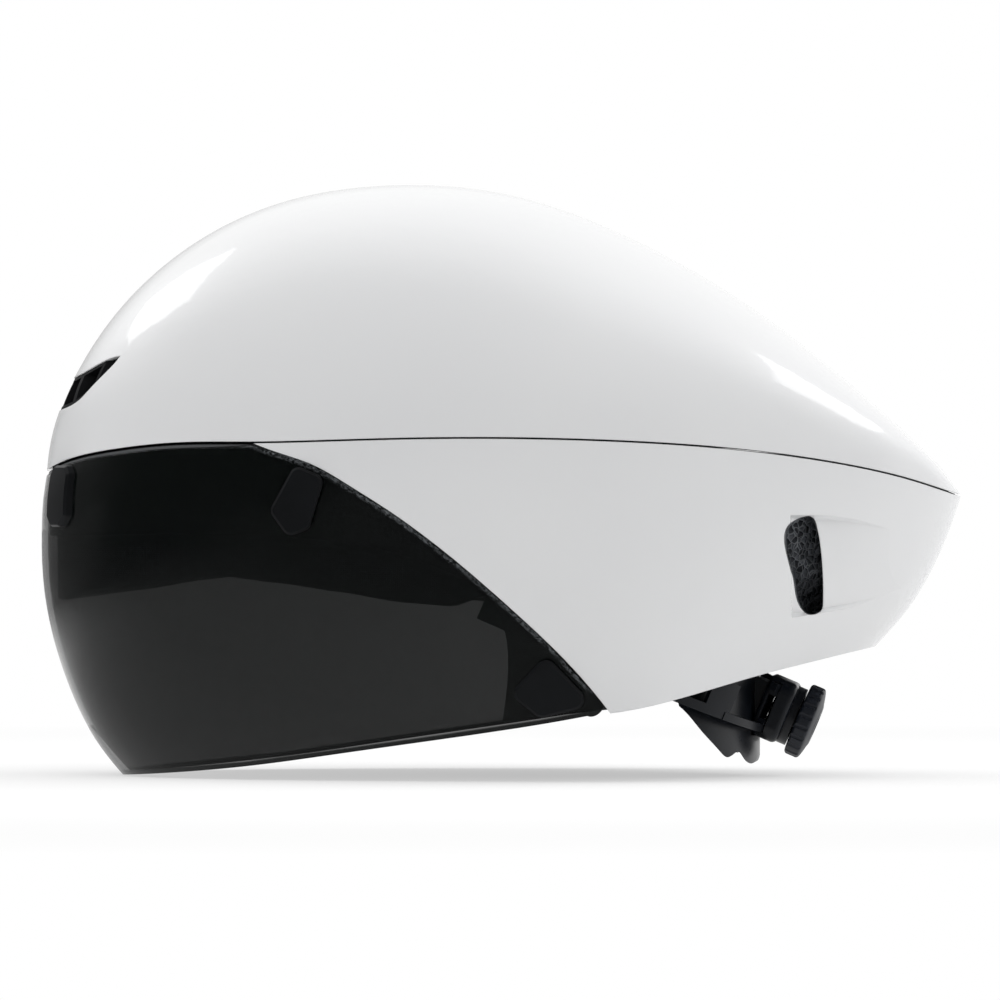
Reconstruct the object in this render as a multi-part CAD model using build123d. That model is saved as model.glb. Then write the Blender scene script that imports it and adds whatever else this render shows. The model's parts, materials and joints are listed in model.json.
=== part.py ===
from build123d import *
import math
import os

os.makedirs("parts", exist_ok=True)

# Frame: millimetres, nose towards -X, tail towards +X, +Z up, Y across.
# Lower surface of the helmet: distance behind or ahead of the middle at each height, as (z, x).
NOSE_PROFILE = [(-12, -122), (0, -133), (8, -139.4), (19.3, -146.3), (28.4, -150.5), (40, -154.7),
                (56, -158.8), (69, -160.6), (82, -161), (96.7, -160.4), (106, -158.9), (113, -157.5),
                (120, -156), (128, -153.4)]
TAIL_PROFILE = [(-12, 86), (0, 94), (15, 105), (30, 117.6), (42, 128.6), (46.6, 133.4), (53.6, 139.6),
                (63.8, 146.6), (76.4, 153.4), (85.8, 157.3), (94.2, 160.2), (97.4, 161.2), (110, 165.5),
                (128, 171)]
# Share of the full half width that is left at each height, as (z, share).
TUCK_SHARE = [(-12, 0.80), (0, 0.832), (20, 0.884), (40, 0.926), (60, 0.958), (80, 0.982), (100, 0.996),
              (117, 1.0), (128, 1.0)]
# Line where upper and lower surfaces meet, as (x, z).
SEAM_LINE = [(-176, 99), (-158.9, 105.8), (-147, 109.9), (-130, 113.1), (-103, 115.5), (-78, 115.6),
             (-60, 115.9), (-26, 116.8), (8, 117), (42, 116.2), (75.6, 114.3), (109.3, 110.5), (125.6, 107.7),
             (141.9, 103.9), (161.2, 97.4), (180, 90.5)]
# Centre line over the top, as (x, z).
CROWN_LINE = [(176, 84.5), (161.2, 97.4), (154, 106.6), (140, 121), (126, 133.6), (105, 150.8), (70, 174.7),
              (35, 192.2), (0, 203.4), (-35, 206.2), (-70, 201.9), (-84, 197.7), (-105, 187.3),
              (-126, 170.3), (-140, 153.6), (-146.3, 143.2), (-152.2, 129.5), (-156.1, 119.5), (-158.9, 106),
              (-160.4, 96.7), (-161, 82), (-160.6, 69)]
HALF_WIDTH = 102.0
# Where the plan is widest at each height, as (z, x).
WIDEST_LINE = [(-12, 46), (10, 45.5), (30, 44), (50, 39), (75, 31), (100, 23), (117, 18), (128, 16)]
NOSE_POWER = 2.5
TAIL_POWER = 2.2
TAIL_TAPER = 0.5
FAN_X = -17.5
FAN_Z = -5.5
FAN_ANGLES = [30.2, 33, 37, 43, 51, 61, 72, 84, 96, 107, 117, 125, 132, 137.5, 142, 146]
FAN_BASE = 75.0
FAN_BASE_DROP = 5.0
FAN_LOW_SHARE = 0.4
FULLNESS = 0.5523
SLICE_HEIGHTS = [-12, 0, 12, 26, 42, 58, 72, 85, 97, 108, 117, 127]
CONTOUR_STEPS = 8
ARCH_POINTS = 13
FINE_STEPS = 60
TINY = 1e-4

# Walls and gaps.
SHELL = 2.0
FOAM_GAP = 0.3
SEAM_GAP = 0.3
FOAM_SEAM = 0.1
LENS = 2.2
FRAME_OUT = 2.7
FRAME = 2.0
EDGE_GAP = 0.5
BIG = 400.0
HALF_SPAN = 150.0
LOW = -60.0
FAR = 190.0
OVERRUN = 1.0

# Side outlines, as (x, z).
DIAGONAL = [(-78, 115.6), (-70, 112.6), (-57, 108.2), (-43.3, 100.6), (-29.6, 92), (-16, 82.2), (-2.5, 71.3),
            (11, 59.4), (24.5, 46.8), (37.8, 32.4), (44.8, 23.4)]
LENS_TIP = [(37.2, 32.4), (41.2, 27.9), (42.3, 25.6), (41.2, 23.6), (37, 22.5)]
LENS_BOTTOM = [(37, 22.5), (20.5, 19.5), (-13.6, 14.3), (-48, 9.3), (-82.8, 4.4), (-131, 0), (-150, -1.6)]
RIM_LINE = [(44.8, 23.4), (61.6, 26.6), (78, 31.2), (95.2, 36.2), (112, 40.4), (130, 44.6), (150, 48)]
OPENING = [(-185, 84), (-110, 84.5), (-55, 82.5), (-25, 77), (-8, 70.5), (3, 64), (8, 55), (10, 42), (10, -20)]
FRAME_UNDER_SHELL = 6.0
# Line between the lens and the upper shell, as (x, height).
BROW_LIP = [(-176, 1.1), (-159, 1.2), (-147, 1.3), (-130, 1.5), (-112, 1.6), (-98, 1.6), (-87, 1.3),
            (-78.5, 0.7)]
BROW_STATIONS = [-176, -158.9, -147, -130, -115, -103, -90, -78.5]
LIP_GAP = 0.25
LIP_IN = 0.6
LIP_OVER = 1.5

# Nose cut of the lens, half of it as (y, z).
NOSE_CUT = [(0, 17), (4.5, 15.8), (8.5, 12.2), (11.3, 7), (13, 1), (14.4, -6)]

# Front vent, half of it as (y, z), lower then upper edge.
FRONT_VENT_LOW = [(0, 126.7), (14, 126.9), (27, 127.5), (36, 128.6), (43, 131), (48, 135.2), (52.3, 140),
                  (54.4, 143.4), (55, 145.6)]
FRONT_VENT_HIGH = [(55, 145.6), (51, 144.9), (47, 143.4), (41, 141.1), (30, 139), (15, 138.5), (0, 138.3)]
FRONT_VENT_FROM = -190.0
FRONT_VENT_TO = -100.0
# Vaned insert in the front vent.
VENT_FIT = 0.3
VENT_WALL = 1.1
VENT_INSET = 0.4
VENT_DEPTH = 9.0
VENT_HALF = 49.5
VENT_SPANS = 14
VANE = 2.4
VANE_PITCH = 12.6
VANES_A_SIDE = 3

# Rear side vents, outline as (x, z).
REAR_VENT = [(110, 90.4), (103, 84.6), (103.4, 78), (105.6, 68), (107, 60.4), (110.6, 56.6), (114.4, 57.8),
             (115.2, 61), (115.0, 76), (113.6, 86.6)]
# Scoop behind each vent: upper and lower edge as (x, z) and floor depth as (x, depth).
SCOOP_TOP = [(105, 91), (114, 91), (126, 89.8), (142, 86)]
SCOOP_LOW = [(105, 55.4), (114, 56.8), (126, 59), (142, 64)]
SCOOP_FADE = [(105, 4.4), (112, 4.0), (118, 3.0), (124, 1.8), (130, 0.8), (136, 0.15), (142, -0.3)]
SCOOP_STATIONS = [105, 111, 117, 123, 129, 135, 141]
SCOOP_SIDE = 1.6
SCOOP_PROUD = 0.6
SCOOP_SPANS = 6
SCOOP_DEPTH = 4.4
SCOOP_WALL = 2.0
SCOOP_BITE = 0.5
SCOOP_ROOM = 0.5
SCOOP_PAD = [(98, 96), (142, 95), (137, 51), (99, 51)]

# Air duct in the foam from the head room to the rear vent.
VENT_POCKET = 16.5
VENT_DUCT_RADIUS = 4.5
VENT_DUCT_FROM = (54, 34.5, 75)
VENT_DUCT_ALONG = (52, 20.5, -1)
VENT_DUCT_LENGTH = 56.0

# Head room.
HEAD_X = -29.0
HEAD_LENGTH = 99.0
HEAD_WIDTH = 78.0
HEAD_RISE = 99.0
HEAD_BASE = 75.0
HEAD_LEVELS = [-24, 12, 48, 75, 95, 112, 128, 142, 154, 164, 170, 173.2]
FOAM_RIM_LIFT = 1.4

# Retention system: arc axis tilted back, dial axis along the arc's rearmost spoke.
TILT = math.radians(23)
SPOKE = (math.cos(TILT), 0, -math.sin(TILT))
ARC_UP = (math.sin(TILT), 0, math.cos(TILT))
DIAL_CENTRE = (107.3, 0, 18.6)
DIAL_BACK = 12.0
ARC_RADIUS = 75.0
PITCH_RADIUS = 5.0
TEETH = 10
BAND_HALF = 0.9
RACK_HALF = 1.2


def natural_curve(rows):
    """Smooth interpolation through rows of (u, v), straight beyond both ends."""
    rows = sorted(rows)
    count = len(rows)
    step = [rows[i + 1][0] - rows[i][0] for i in range(count - 1)]
    slope = [(rows[i + 1][1] - rows[i][1]) / step[i] for i in range(count - 1)]
    bend = [0.0] * count
    diagonal = [1.0] * count
    right = [0.0] * count
    for i in range(1, count - 1):
        factor = step[i - 1] / diagonal[i - 1] if i > 1 else 0.0
        diagonal[i] = 2 * (step[i - 1] + step[i]) - factor * (step[i - 1] if i > 1 else 0.0)
        right[i] = 6 * (slope[i] - slope[i - 1]) - factor * (right[i - 1] if i > 1 else 0.0)
    for i in range(count - 2, 0, -1):
        bend[i] = (right[i] - step[i] * bend[i + 1]) / diagonal[i]

    def value(u):
        if u <= rows[0][0]:
            start = slope[0] - step[0] * bend[1] / 6
            return rows[0][1] + start * (u - rows[0][0])
        if u >= rows[-1][0]:
            end = slope[-1] + step[-1] * bend[-2] / 6
            return rows[-1][1] + end * (u - rows[-1][0])
        i = 0
        while rows[i + 1][0] < u:
            i += 1
        a = (rows[i + 1][0] - u) / step[i]
        b = (u - rows[i][0]) / step[i]
        cubic = ((a**3 - a) * bend[i] + (b**3 - b) * bend[i + 1]) * step[i] ** 2 / 6
        return a * rows[i][1] + b * rows[i + 1][1] + cubic

    return value


nose_x = natural_curve(NOSE_PROFILE)
tail_x = natural_curve(TAIL_PROFILE)
tuck = natural_curve(TUCK_SHARE)
widest_x = natural_curve(WIDEST_LINE)
seam_z = natural_curve(SEAM_LINE)
crown_radius = natural_curve(
    [(math.degrees(math.atan2(z - FAN_Z, x - FAN_X)), math.hypot(x - FAN_X, z - FAN_Z)) for x, z in CROWN_LINE]
)


def nose_share(u):
    return math.sqrt(max(1 - u**NOSE_POWER, 0))


def tail_share(u):
    return math.sqrt(max(1 - u**TAIL_POWER, 0)) * (1 - TAIL_TAPER * u**2)


def half_width(x, z):
    """Half width of the lower surface at a point of the side view."""
    middle = widest_x(z)
    if x <= middle:
        share = nose_share(min((middle - x) / (middle - nose_x(z)), 1))
    else:
        share = tail_share(min((x - middle) / (tail_x(z) - middle), 1))
    return HALF_WIDTH * tuck(z) * share


def contour(z, t):
    """Point of the slice at height z; t runs from 0 at the nose to 2 at the tail."""
    middle = widest_x(z)
    if t <= 1:
        u = math.cos(t * math.pi / 2)
        return middle - (middle - nose_x(z)) * u, HALF_WIDTH * tuck(z) * nose_share(u)
    u = math.sin((t - 1) * math.pi / 2)
    return middle + (tail_x(z) - middle) * u, HALF_WIDTH * tuck(z) * tail_share(u)


def slice_wire(z, inset):
    """Closed outline of the lower surface at height z, moved inward by inset."""
    half = []
    for i in range(2 * CONTOUR_STEPS + 1):
        t = i / CONTOUR_STEPS
        x, y = contour(z, t)
        if i == 0:
            half.append((x + inset, 0))
            continue
        if i == 2 * CONTOUR_STEPS:
            half.append((x - inset, 0))
            continue
        xa, ya = contour(z, t - TINY)
        xb, yb = contour(z, t + TINY)
        run = math.hypot(xb - xa, yb - ya)
        half.append((x + inset * (yb - ya) / run, y - inset * (xb - xa) / run))
    loop = half + [(x, -y) for x, y in reversed(half[1:-1])]
    return Wire([Edge.make_spline([(x, y, z) for x, y in loop], periodic=True)])


def lower_form(inset):
    return Solid.make_loft([slice_wire(z, inset) for z in SLICE_HEIGHTS])


def ray(angle, r):
    return FAN_X + r * math.cos(angle), FAN_Z + r * math.sin(angle)


def seam_radius(angle, top):
    """Distance along the fan ray at which it crosses the seam, or the top where it doesn't."""
    low = FAN_LOW_SHARE * top
    high = top
    x, z = ray(angle, top)
    if z < seam_z(x):
        return top
    for _ in range(FINE_STEPS):
        middle = (low + high) / 2
        x, z = ray(angle, middle)
        if z < seam_z(x):
            low = middle
        else:
            high = middle
    return low


def arch_points(angle_deg, inset, base):
    """Half arch of the upper surface in one fan plane, from the base to the crown, as (r, y)."""
    angle = math.radians(angle_deg)
    top = crown_radius(angle_deg)
    start = (base - FAN_Z) / math.sin(angle)
    cross = seam_radius(angle, top)
    rows = []
    for i in range(FINE_STEPS + 1):
        share = math.sin(math.pi / 2 * i / FINE_STEPS) if cross >= top else i / FINE_STEPS
        r = start + (cross - start) * share
        rows.append((r, half_width(*ray(angle, r))))
    if cross < top:
        x, z = ray(angle, cross)
        width = half_width(x, z)
        xa, za = ray(angle, cross - TINY)
        drop = (width - half_width(xa, za)) / TINY
        length = math.hypot(1, drop)
        reach = FULLNESS * ((top - cross) / length + width * abs(drop) / length)
        a = (cross, width)
        b = (cross + reach / length, width + reach * drop / length)
        c = (top, FULLNESS * width)
        d = (top, 0)
        for i in range(1, FINE_STEPS + 1):
            t = i / FINE_STEPS
            s = 1 - t
            parts = (s**3, 3 * s * s * t, 3 * s * t * t, t**3)
            rows.append(tuple(sum(w * p[k] for w, p in zip(parts, (a, b, c, d))) for k in (0, 1)))
    else:
        rows[-1] = (top, 0)
    moved = []
    for i, (r, y) in enumerate(rows):
        ra, ya = rows[max(i - 1, 0)]
        rb, yb = rows[min(i + 1, len(rows) - 1)]
        if i == len(rows) - 1:
            moved.append((r - inset, 0))
            continue
        run = math.hypot(rb - ra, yb - ya)
        if i == 0:
            moved.append((r, y - inset))
            continue
        moved.append((r + inset * (yb - ya) / run, y - inset * (rb - ra) / run))
    lengths = [0.0]
    for (ra, ya), (rb, yb) in zip(moved, moved[1:]):
        lengths.append(lengths[-1] + math.hypot(rb - ra, yb - ya))
    even = []
    k = 0
    for i in range(ARCH_POINTS):
        want = lengths[-1] * i / (ARCH_POINTS - 1)
        while k < len(lengths) - 2 and lengths[k + 1] < want:
            k += 1
        share = (want - lengths[k]) / (lengths[k + 1] - lengths[k])
        even.append(tuple(moved[k][m] + share * (moved[k + 1][m] - moved[k][m]) for m in (0, 1)))
    even[0] = moved[0]
    even[-1] = moved[-1]
    return even


def arch_wire(angle_deg, inset, base):
    angle = math.radians(angle_deg)
    half = arch_points(angle_deg, inset, base)
    loop = [(r, -y) for r, y in half] + [(r, y) for r, y in reversed(half[:-1])]
    points = [(FAN_X + r * math.cos(angle), y, FAN_Z + r * math.sin(angle)) for r, y in loop]
    return Wire([Edge.make_spline(points), Edge.make_line(points[-1], points[0])])


def upper_form(inset, base):
    return Solid.make_loft([arch_wire(angle, inset, base) for angle in FAN_ANGLES])


def outline_face(pieces, place):
    """Face from pieces that join end to end: two points make a line, more make a smooth curve."""
    edges = []
    for piece in pieces:
        points = [place(u, v) for u, v in piece]
        edges.append(Edge.make_line(*points) if len(points) == 2 else Edge.make_spline(points))
    return Face(Wire(edges))


def side_prism(pieces, y_from=-HALF_SPAN, y_to=HALF_SPAN):
    face = outline_face(pieces, lambda u, v: (u, y_from, v))
    return Solid.extrude(face, Vector(0, y_to - y_from, 0))


def front_prism(pieces, x_from, x_to):
    face = outline_face(pieces, lambda u, v: (x_from, u, v))
    return Solid.extrude(face, Vector(x_to - x_from, 0, 0))


def polygon(points):
    return [[points[i], points[(i + 1) % len(points)]] for i in range(len(points))]


def one(shape):
    """The largest solid of a result."""
    return max(shape.solids(), key=lambda s: s.volume)


def block(x0, x1, y0, y1, z0, z1):
    return Solid.make_box(x1 - x0, y1 - y0, z1 - z0, Plane((x0, y0, z0)))


nodes = {}


def mirrored(shape):
    return shape.mirror(Plane.XZ)


# Side-view regions.
seam_points = [(x, seam_z(x)) for x, z in SEAM_LINE]


def above_seam(lift):
    line = [(x, z + lift) for x, z in seam_points]
    first, last = line[0], line[-1]
    return side_prism([line, [last, (last[0], BIG)], [(last[0], BIG), (first[0], BIG)],
                       [(first[0], BIG), first]])


def below_seam(drop):
    line = [(x, z - drop) for x, z in seam_points]
    first, last = line[0], line[-1]
    return side_prism([line, [last, (last[0], -BIG)], [(last[0], -BIG), (first[0], -BIG)],
                       [(first[0], -BIG), first]])


def shifted(points, dx, dz):
    return [(x + dx, z + dz) for x, z in points]


def behind_diagonal(gap, lift):
    """Region behind the lens edge and above the rim."""
    edge = shifted(DIAGONAL, gap, 0)
    rim = shifted(RIM_LINE, 0, lift)
    top = (edge[0][0], BIG)
    corner = (rim[-1][0], rim[-1][1])
    join = [edge[-1], rim[0]]
    pieces = [edge]
    if abs(join[0][0] - join[1][0]) + abs(join[0][1] - join[1][1]) > TINY:
        pieces.append(join)
    return side_prism(pieces + [rim, [corner, (FAR, corner[1])], [(FAR, corner[1]), (FAR, BIG)],
                                [(FAR, BIG), top], [top, edge[0]]])


outer_low = lower_form(0)
inner_low = lower_form(SHELL)
outer_up = upper_form(0, FAN_BASE)
inner_up = upper_form(SHELL, FAN_BASE - FAN_BASE_DROP)

# Front vent.
vent_outline = [
    [(-y, z) for y, z in reversed(FRONT_VENT_LOW)] + FRONT_VENT_LOW[1:],
    FRONT_VENT_HIGH + [(-y, z) for y, z in reversed(FRONT_VENT_HIGH[:-1])],
]
front_vent = front_prism(vent_outline, FRONT_VENT_FROM, FRONT_VENT_TO)


def vent_inside(shrink, half):
    """Block through the front vent, smaller all round and square at both ends."""
    low = natural_curve(FRONT_VENT_LOW)
    high = natural_curve(FRONT_VENT_HIGH)
    ys = [half * (2 * i / VENT_SPANS - 1) for i in range(VENT_SPANS + 1)]
    under = [(y, low(abs(y)) + shrink) for y in ys]
    over = [(y, high(abs(y)) - shrink) for y in reversed(ys)]
    outline = [under, [under[-1], over[0]], over, [over[-1], under[0]]]
    return front_prism(outline, FRONT_VENT_FROM, FRONT_VENT_TO)


windows = vent_inside(VENT_FIT + VENT_WALL, VENT_HALF - VENT_WALL)
for k in range(-VANES_A_SIDE, VANES_A_SIDE + 1):
    middle = k * VANE_PITCH
    windows = windows - block(FRONT_VENT_FROM, FRONT_VENT_TO, middle - VANE / 2, middle + VANE / 2, 0, BIG)
insert = vent_inside(VENT_FIT, VENT_HALF) & upper_form(VENT_INSET, FAN_BASE)
insert = insert - upper_form(VENT_INSET + VENT_DEPTH, FAN_BASE - SHELL) - windows
nodes["vent_insert"] = one(insert)

upper_shell = one(((outer_up - inner_up) & above_seam(SEAM_GAP)) - front_vent)
nodes["upper_shell"] = upper_shell

# Lower shell with its rear vents and scoops.
scoop_pad = lower_form(SHELL - SCOOP_BITE) - lower_form(SCOOP_DEPTH + SCOOP_WALL)
scoop_pad = scoop_pad & side_prism(polygon(SCOOP_PAD))
scoop_top = natural_curve(SCOOP_TOP)
scoop_low = natural_curve(SCOOP_LOW)
scoop_fade = natural_curve(SCOOP_FADE)


def scoop_section(x):
    """Outline of the scoop's hollow at one place along the helmet, open outward."""
    low, top, depth = scoop_low(x), scoop_top(x), scoop_fade(x)
    floor = []
    for i in range(SCOOP_SPANS + 1):
        z = low + SCOOP_SIDE + (top - low - 2 * SCOOP_SIDE) * i / SCOOP_SPANS
        floor.append((x, half_width(x, z) - depth, z))
    start = (x, half_width(x, low) + SCOOP_PROUD, low)
    end = (x, half_width(x, top) + SCOOP_PROUD, top)
    corners = [end, (x, HALF_SPAN, top), (x, HALF_SPAN, low), start, floor[0]]
    edges = [Edge.make_spline(floor), Edge.make_line(floor[-1], end)]
    return Wire(edges + [Edge.make_line(a, b) for a, b in zip(corners, corners[1:])])


scoop_cut = Solid.make_loft([scoop_section(x) for x in SCOOP_STATIONS])
vent_cut_face = Face(Wire([Edge.make_spline([(x, 0, z) for x, z in REAR_VENT], periodic=True)]))
vent_cut = Solid.extrude(vent_cut_face, Vector(0, HALF_SPAN, 0))
lower_wall = (outer_low - inner_low) + scoop_pad
lower_wall = lower_wall & below_seam(SEAM_GAP)
lower_wall = lower_wall & behind_diagonal(0, 0)
for tool in (scoop_cut, vent_cut):
    lower_wall = lower_wall - tool - mirrored(tool)
nodes["lower_shell"] = one(lower_wall)


# Head room and soft layer inside it.
def head_form(inset):
    wires = []
    for z in HEAD_LEVELS:
        rise = max(z - HEAD_BASE, 0) / HEAD_RISE
        share = math.sqrt(1 - rise**2)
        level = z - inset * rise if z > HEAD_BASE else z
        plane = Plane((HEAD_X, 0, level))
        oval = Edge.make_ellipse((HEAD_LENGTH - inset) * share, (HEAD_WIDTH - inset) * share, plane)
        wires.append(Wire([oval]))
    return Solid.make_loft(wires)


head = head_form(0)

arc_centre = tuple(DIAL_CENTRE[k] - (ARC_RADIUS + DIAL_BACK) * SPOKE[k] for k in (0, 1, 2))
ARC = Plane(origin=arc_centre, x_dir=SPOKE, z_dir=ARC_UP)


def arc_cylinder(radius, low, high):
    """Cylinder about the arc axis between two levels."""
    base = Plane(origin=tuple(arc_centre[k] + low * ARC_UP[k] for k in (0, 1, 2)), x_dir=SPOKE, z_dir=ARC_UP)
    return Solid.make_cylinder(radius, high - low, base)


def arc_block(x0, x1, y0, y1, z0, z1):
    """Block in the arc frame: x along the rear spoke, z along the arc axis."""
    return ARC * Solid.make_box(x1 - x0, y1 - y0, z1 - z0, Plane((x0, y0, z0)))


POCKET_RADIUS = 80.0
POCKET_TOP = 21.0
POCKET_LOW = -90.0
TAIL_POCKET_FROM = 60.0
TAIL_POCKET_TO = 96.0
TAIL_POCKET_HALF = 21.0
pocket = arc_cylinder(POCKET_RADIUS, POCKET_LOW, POCKET_TOP)
tail_pocket = arc_block(TAIL_POCKET_FROM, TAIL_POCKET_TO, -TAIL_POCKET_HALF, TAIL_POCKET_HALF,
                        POCKET_LOW, POCKET_TOP)

# Foam, in an upper and a lower moulding that meet at the seam.
foam_up = upper_form(SHELL + FOAM_GAP, FAN_BASE - FAN_BASE_DROP) & above_seam(FOAM_SEAM)
DUCT_LOW = 118.0
DUCT_HIGH = 190.0
CROWN_DUCT_HALF = 9.0
CROWN_DUCT_DEPTH = 9.0
CROWN_DUCT_FROM = -150.0
CROWN_DUCT_TO = 75.0
duct = block(CROWN_DUCT_FROM, CROWN_DUCT_TO, -CROWN_DUCT_HALF, CROWN_DUCT_HALF, DUCT_LOW, DUCT_HIGH)
foam_up = foam_up - head - front_vent - (head_form(-CROWN_DUCT_DEPTH) & duct)
SIDE_DUCT_Y = 34.0
SIDE_DUCT_HALF = 7.0
SIDE_DUCT_DEPTH = 7.0
SIDE_DUCT_FROM = -132.0
SIDE_DUCT_TO = 70.0
side_duct = head_form(-SIDE_DUCT_DEPTH) & block(SIDE_DUCT_FROM, SIDE_DUCT_TO, SIDE_DUCT_Y - SIDE_DUCT_HALF,
                                                SIDE_DUCT_Y + SIDE_DUCT_HALF, DUCT_LOW, DUCT_HIGH)
foam_up = foam_up - side_duct - mirrored(side_duct)
nodes["upper_liner"] = one(foam_up)

FRAME_ZONE = FRAME_OUT + FRAME + FOAM_GAP
ZONE_GAP = 0.4
AHEAD_STEP = 4.0
LINER_OVER_LENS = 1.0
foam_low = lower_form(SHELL + FOAM_GAP) & below_seam(FOAM_SEAM)
frame_edge = shifted(DIAGONAL, FRAME_UNDER_SHELL, 0)
zone_edge = shifted(DIAGONAL, FRAME_UNDER_SHELL + ZONE_GAP, 0)


def ahead_of(edge, low):
    """Region ahead of an edge line in the side view."""
    start = (edge[0][0], BIG)
    foot = (edge[-1][0] + AHEAD_STEP, low)
    return side_prism([edge, [edge[-1], foot], [foot, (-FAR, low)],
                       [(-FAR, low), (-FAR, BIG)], [(-FAR, BIG), start], [start, edge[0]]])


zone = ahead_of(zone_edge, LOW)
foam_low = foam_low - (zone - lower_form(FRAME_ZONE))
bottom_line = RIM_LINE[::-1] + shifted(LENS_BOTTOM[1:5], 0, LINER_OVER_LENS)
foam_floor = shifted(bottom_line, 0, FOAM_RIM_LIFT)
floor_cut = side_prism([foam_floor, [foam_floor[-1], (foam_floor[-1][0], LOW)],
                        [(foam_floor[-1][0], LOW), (FAR, LOW)], [(FAR, LOW), (FAR, foam_floor[0][1])],
                        [(FAR, foam_floor[0][1]), foam_floor[0]]])
foam_low = foam_low - floor_cut
opening_corner = (OPENING[0][0], OPENING[-1][1])
opening = side_prism([OPENING, [OPENING[-1], opening_corner], [opening_corner, OPENING[0]]])
foam_low = foam_low - opening - head - pocket - tail_pocket
ROOM_SIDES = ((-1, 1), (1, 1), (1, -1), (-1, -1))
scoop_room = [(x + i * SCOOP_ROOM, z + k * SCOOP_ROOM) for (x, z), (i, k) in zip(SCOOP_PAD, ROOM_SIDES)]
foam_low = foam_low - (side_prism(polygon(scoop_room)) - lower_form(SCOOP_DEPTH + SCOOP_WALL + FOAM_GAP))
vent_pocket = vent_cut & lower_form(0) - lower_form(VENT_POCKET)
duct_start = Plane(origin=VENT_DUCT_FROM, z_dir=VENT_DUCT_ALONG)
vent_duct = Solid.make_cylinder(VENT_DUCT_RADIUS, VENT_DUCT_LENGTH, duct_start)
for tool in (vent_pocket, vent_duct):
    foam_low = foam_low - tool - mirrored(tool)
nodes["lower_liner"] = one(foam_low)

# Seat frame behind the lens, with a lip that fills the line between the lens and the upper shell.
lip_height = natural_curve(BROW_LIP)
lens_top = [(x, seam_z(x) - SEAM_GAP - lip_height(x)) for x in BROW_STATIONS]
lip_low = shifted(lens_top, 0, LIP_GAP)
lip_high = [(x, seam_z(x) + LIP_OVER) for x in BROW_STATIONS]
lip = (lower_form(LIP_IN) - lower_form(LIP_IN + FRAME_OUT)) & side_prism(
    [lip_low, [lip_low[-1], lip_high[-1]], lip_high[::-1], [lip_high[0], lip_low[0]]])
seat = lower_form(FRAME_OUT) - lower_form(FRAME_OUT + FRAME)
seat = (seat & ahead_of(frame_edge, LOW)) - floor_cut - opening
seat = (seat + lip) & below_seam(2 * SEAM_GAP)
nodes["visor_frame"] = one(seat)

# Lens.
NOSE_TOOL_HALF = 60.0
NOSE_TOOL_LOW = -40.0
NOSE_TOOL_FROM = -200.0
NOSE_TOOL_TO = -60.0
lens = lower_form(0) - lower_form(LENS)
lens_edge = shifted(DIAGONAL[:-1], -EDGE_GAP, 0)
edge_curve = [lens_top[-1]] + lens_edge[1:-1] + LENS_TIP
lens_corner = (lens_top[0][0], LENS_BOTTOM[-1][1])
lens = lens & side_prism([lens_top, edge_curve, LENS_BOTTOM, [LENS_BOTTOM[-1], lens_corner],
                          [lens_corner, lens_top[0]]])
nose_curve = [(-y, z) for y, z in reversed(NOSE_CUT)] + NOSE_CUT[1:]
nose_right = (NOSE_TOOL_HALF, NOSE_TOOL_LOW)
nose_left = (-NOSE_TOOL_HALF, NOSE_TOOL_LOW)
nose_tool = front_prism([nose_curve, [nose_curve[-1], nose_right], [nose_right, nose_left],
                         [nose_left, nose_curve[0]]], NOSE_TOOL_FROM, NOSE_TOOL_TO)
lens = one(lens - nose_tool)

# Magnet stations: three a side, each with a cap and a magnet on the lens and a steel disc on the seat.
CAP_OUT = 2.4
CAP_GAP = 0.05
CAP_EDGE = 0.8
CAP_REACH = 100.0
CAP_FRONT = [(31.5, 90), (35, 86.6), (41, 86.6), (45, 90.5), (45, 105), (42.5, 108), (34, 108), (31.5, 105)]
CAP_SIDE = [(-62.6, 108), (-52.2, 103.6), (-57.8, 86.1), (-65.3, 83.4), (-71.7, 92.2)]
CAP_REAR = [(23.2, 43.2), (39.4, 26.2), (20.8, 21.6), (10.4, 30)]
CAP_RADII = (1.6, 3.2, 3.8)
STATIONS = {"front": (38.2, 97.5), "side": (-62, 95), "rear": (24, 31)}
MAGNET_RADIUS = 4.0
MAGNET_IN = 2.0
MAGNET_OUT = 0.75
STEEL_RADIUS = 4.5
STEEL_THICK = 1.2
STEEL_SINK = 0.15
HOLE_OVER = 1.4
PROBE = 0.01
FIT = 0.05


def station_frame(kind):
    """Point on the outer surface and outward direction there, on the +Y side."""
    if kind == "front":
        y, z = STATIONS[kind]
        low, high = nose_x(z), 0.0
        for _ in range(FINE_STEPS):
            x = (low + high) / 2
            if half_width(x, z) < y:
                low = x
            else:
                high = x
    else:
        x, z = STATIONS[kind]
        y = half_width(x, z)
    wx = (half_width(x + PROBE, z) - half_width(x - PROBE, z)) / (2 * PROBE)
    wz = (half_width(x, z + PROBE) - half_width(x, z - PROBE)) / (2 * PROBE)
    return (x, y, z), Vector(-wx, 1, -wz).normalized()


def station_disc(kind, radius, inner, outer):
    point, normal = station_frame(kind)
    base = Vector(*point) + normal * inner
    return Solid.make_cylinder(radius, outer - inner, Plane(origin=base, z_dir=normal))


def rounded_face(points, radius, place):
    face = outline_face(polygon(points), place)
    return face.fillet_2d(radius, face.vertices())


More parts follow.
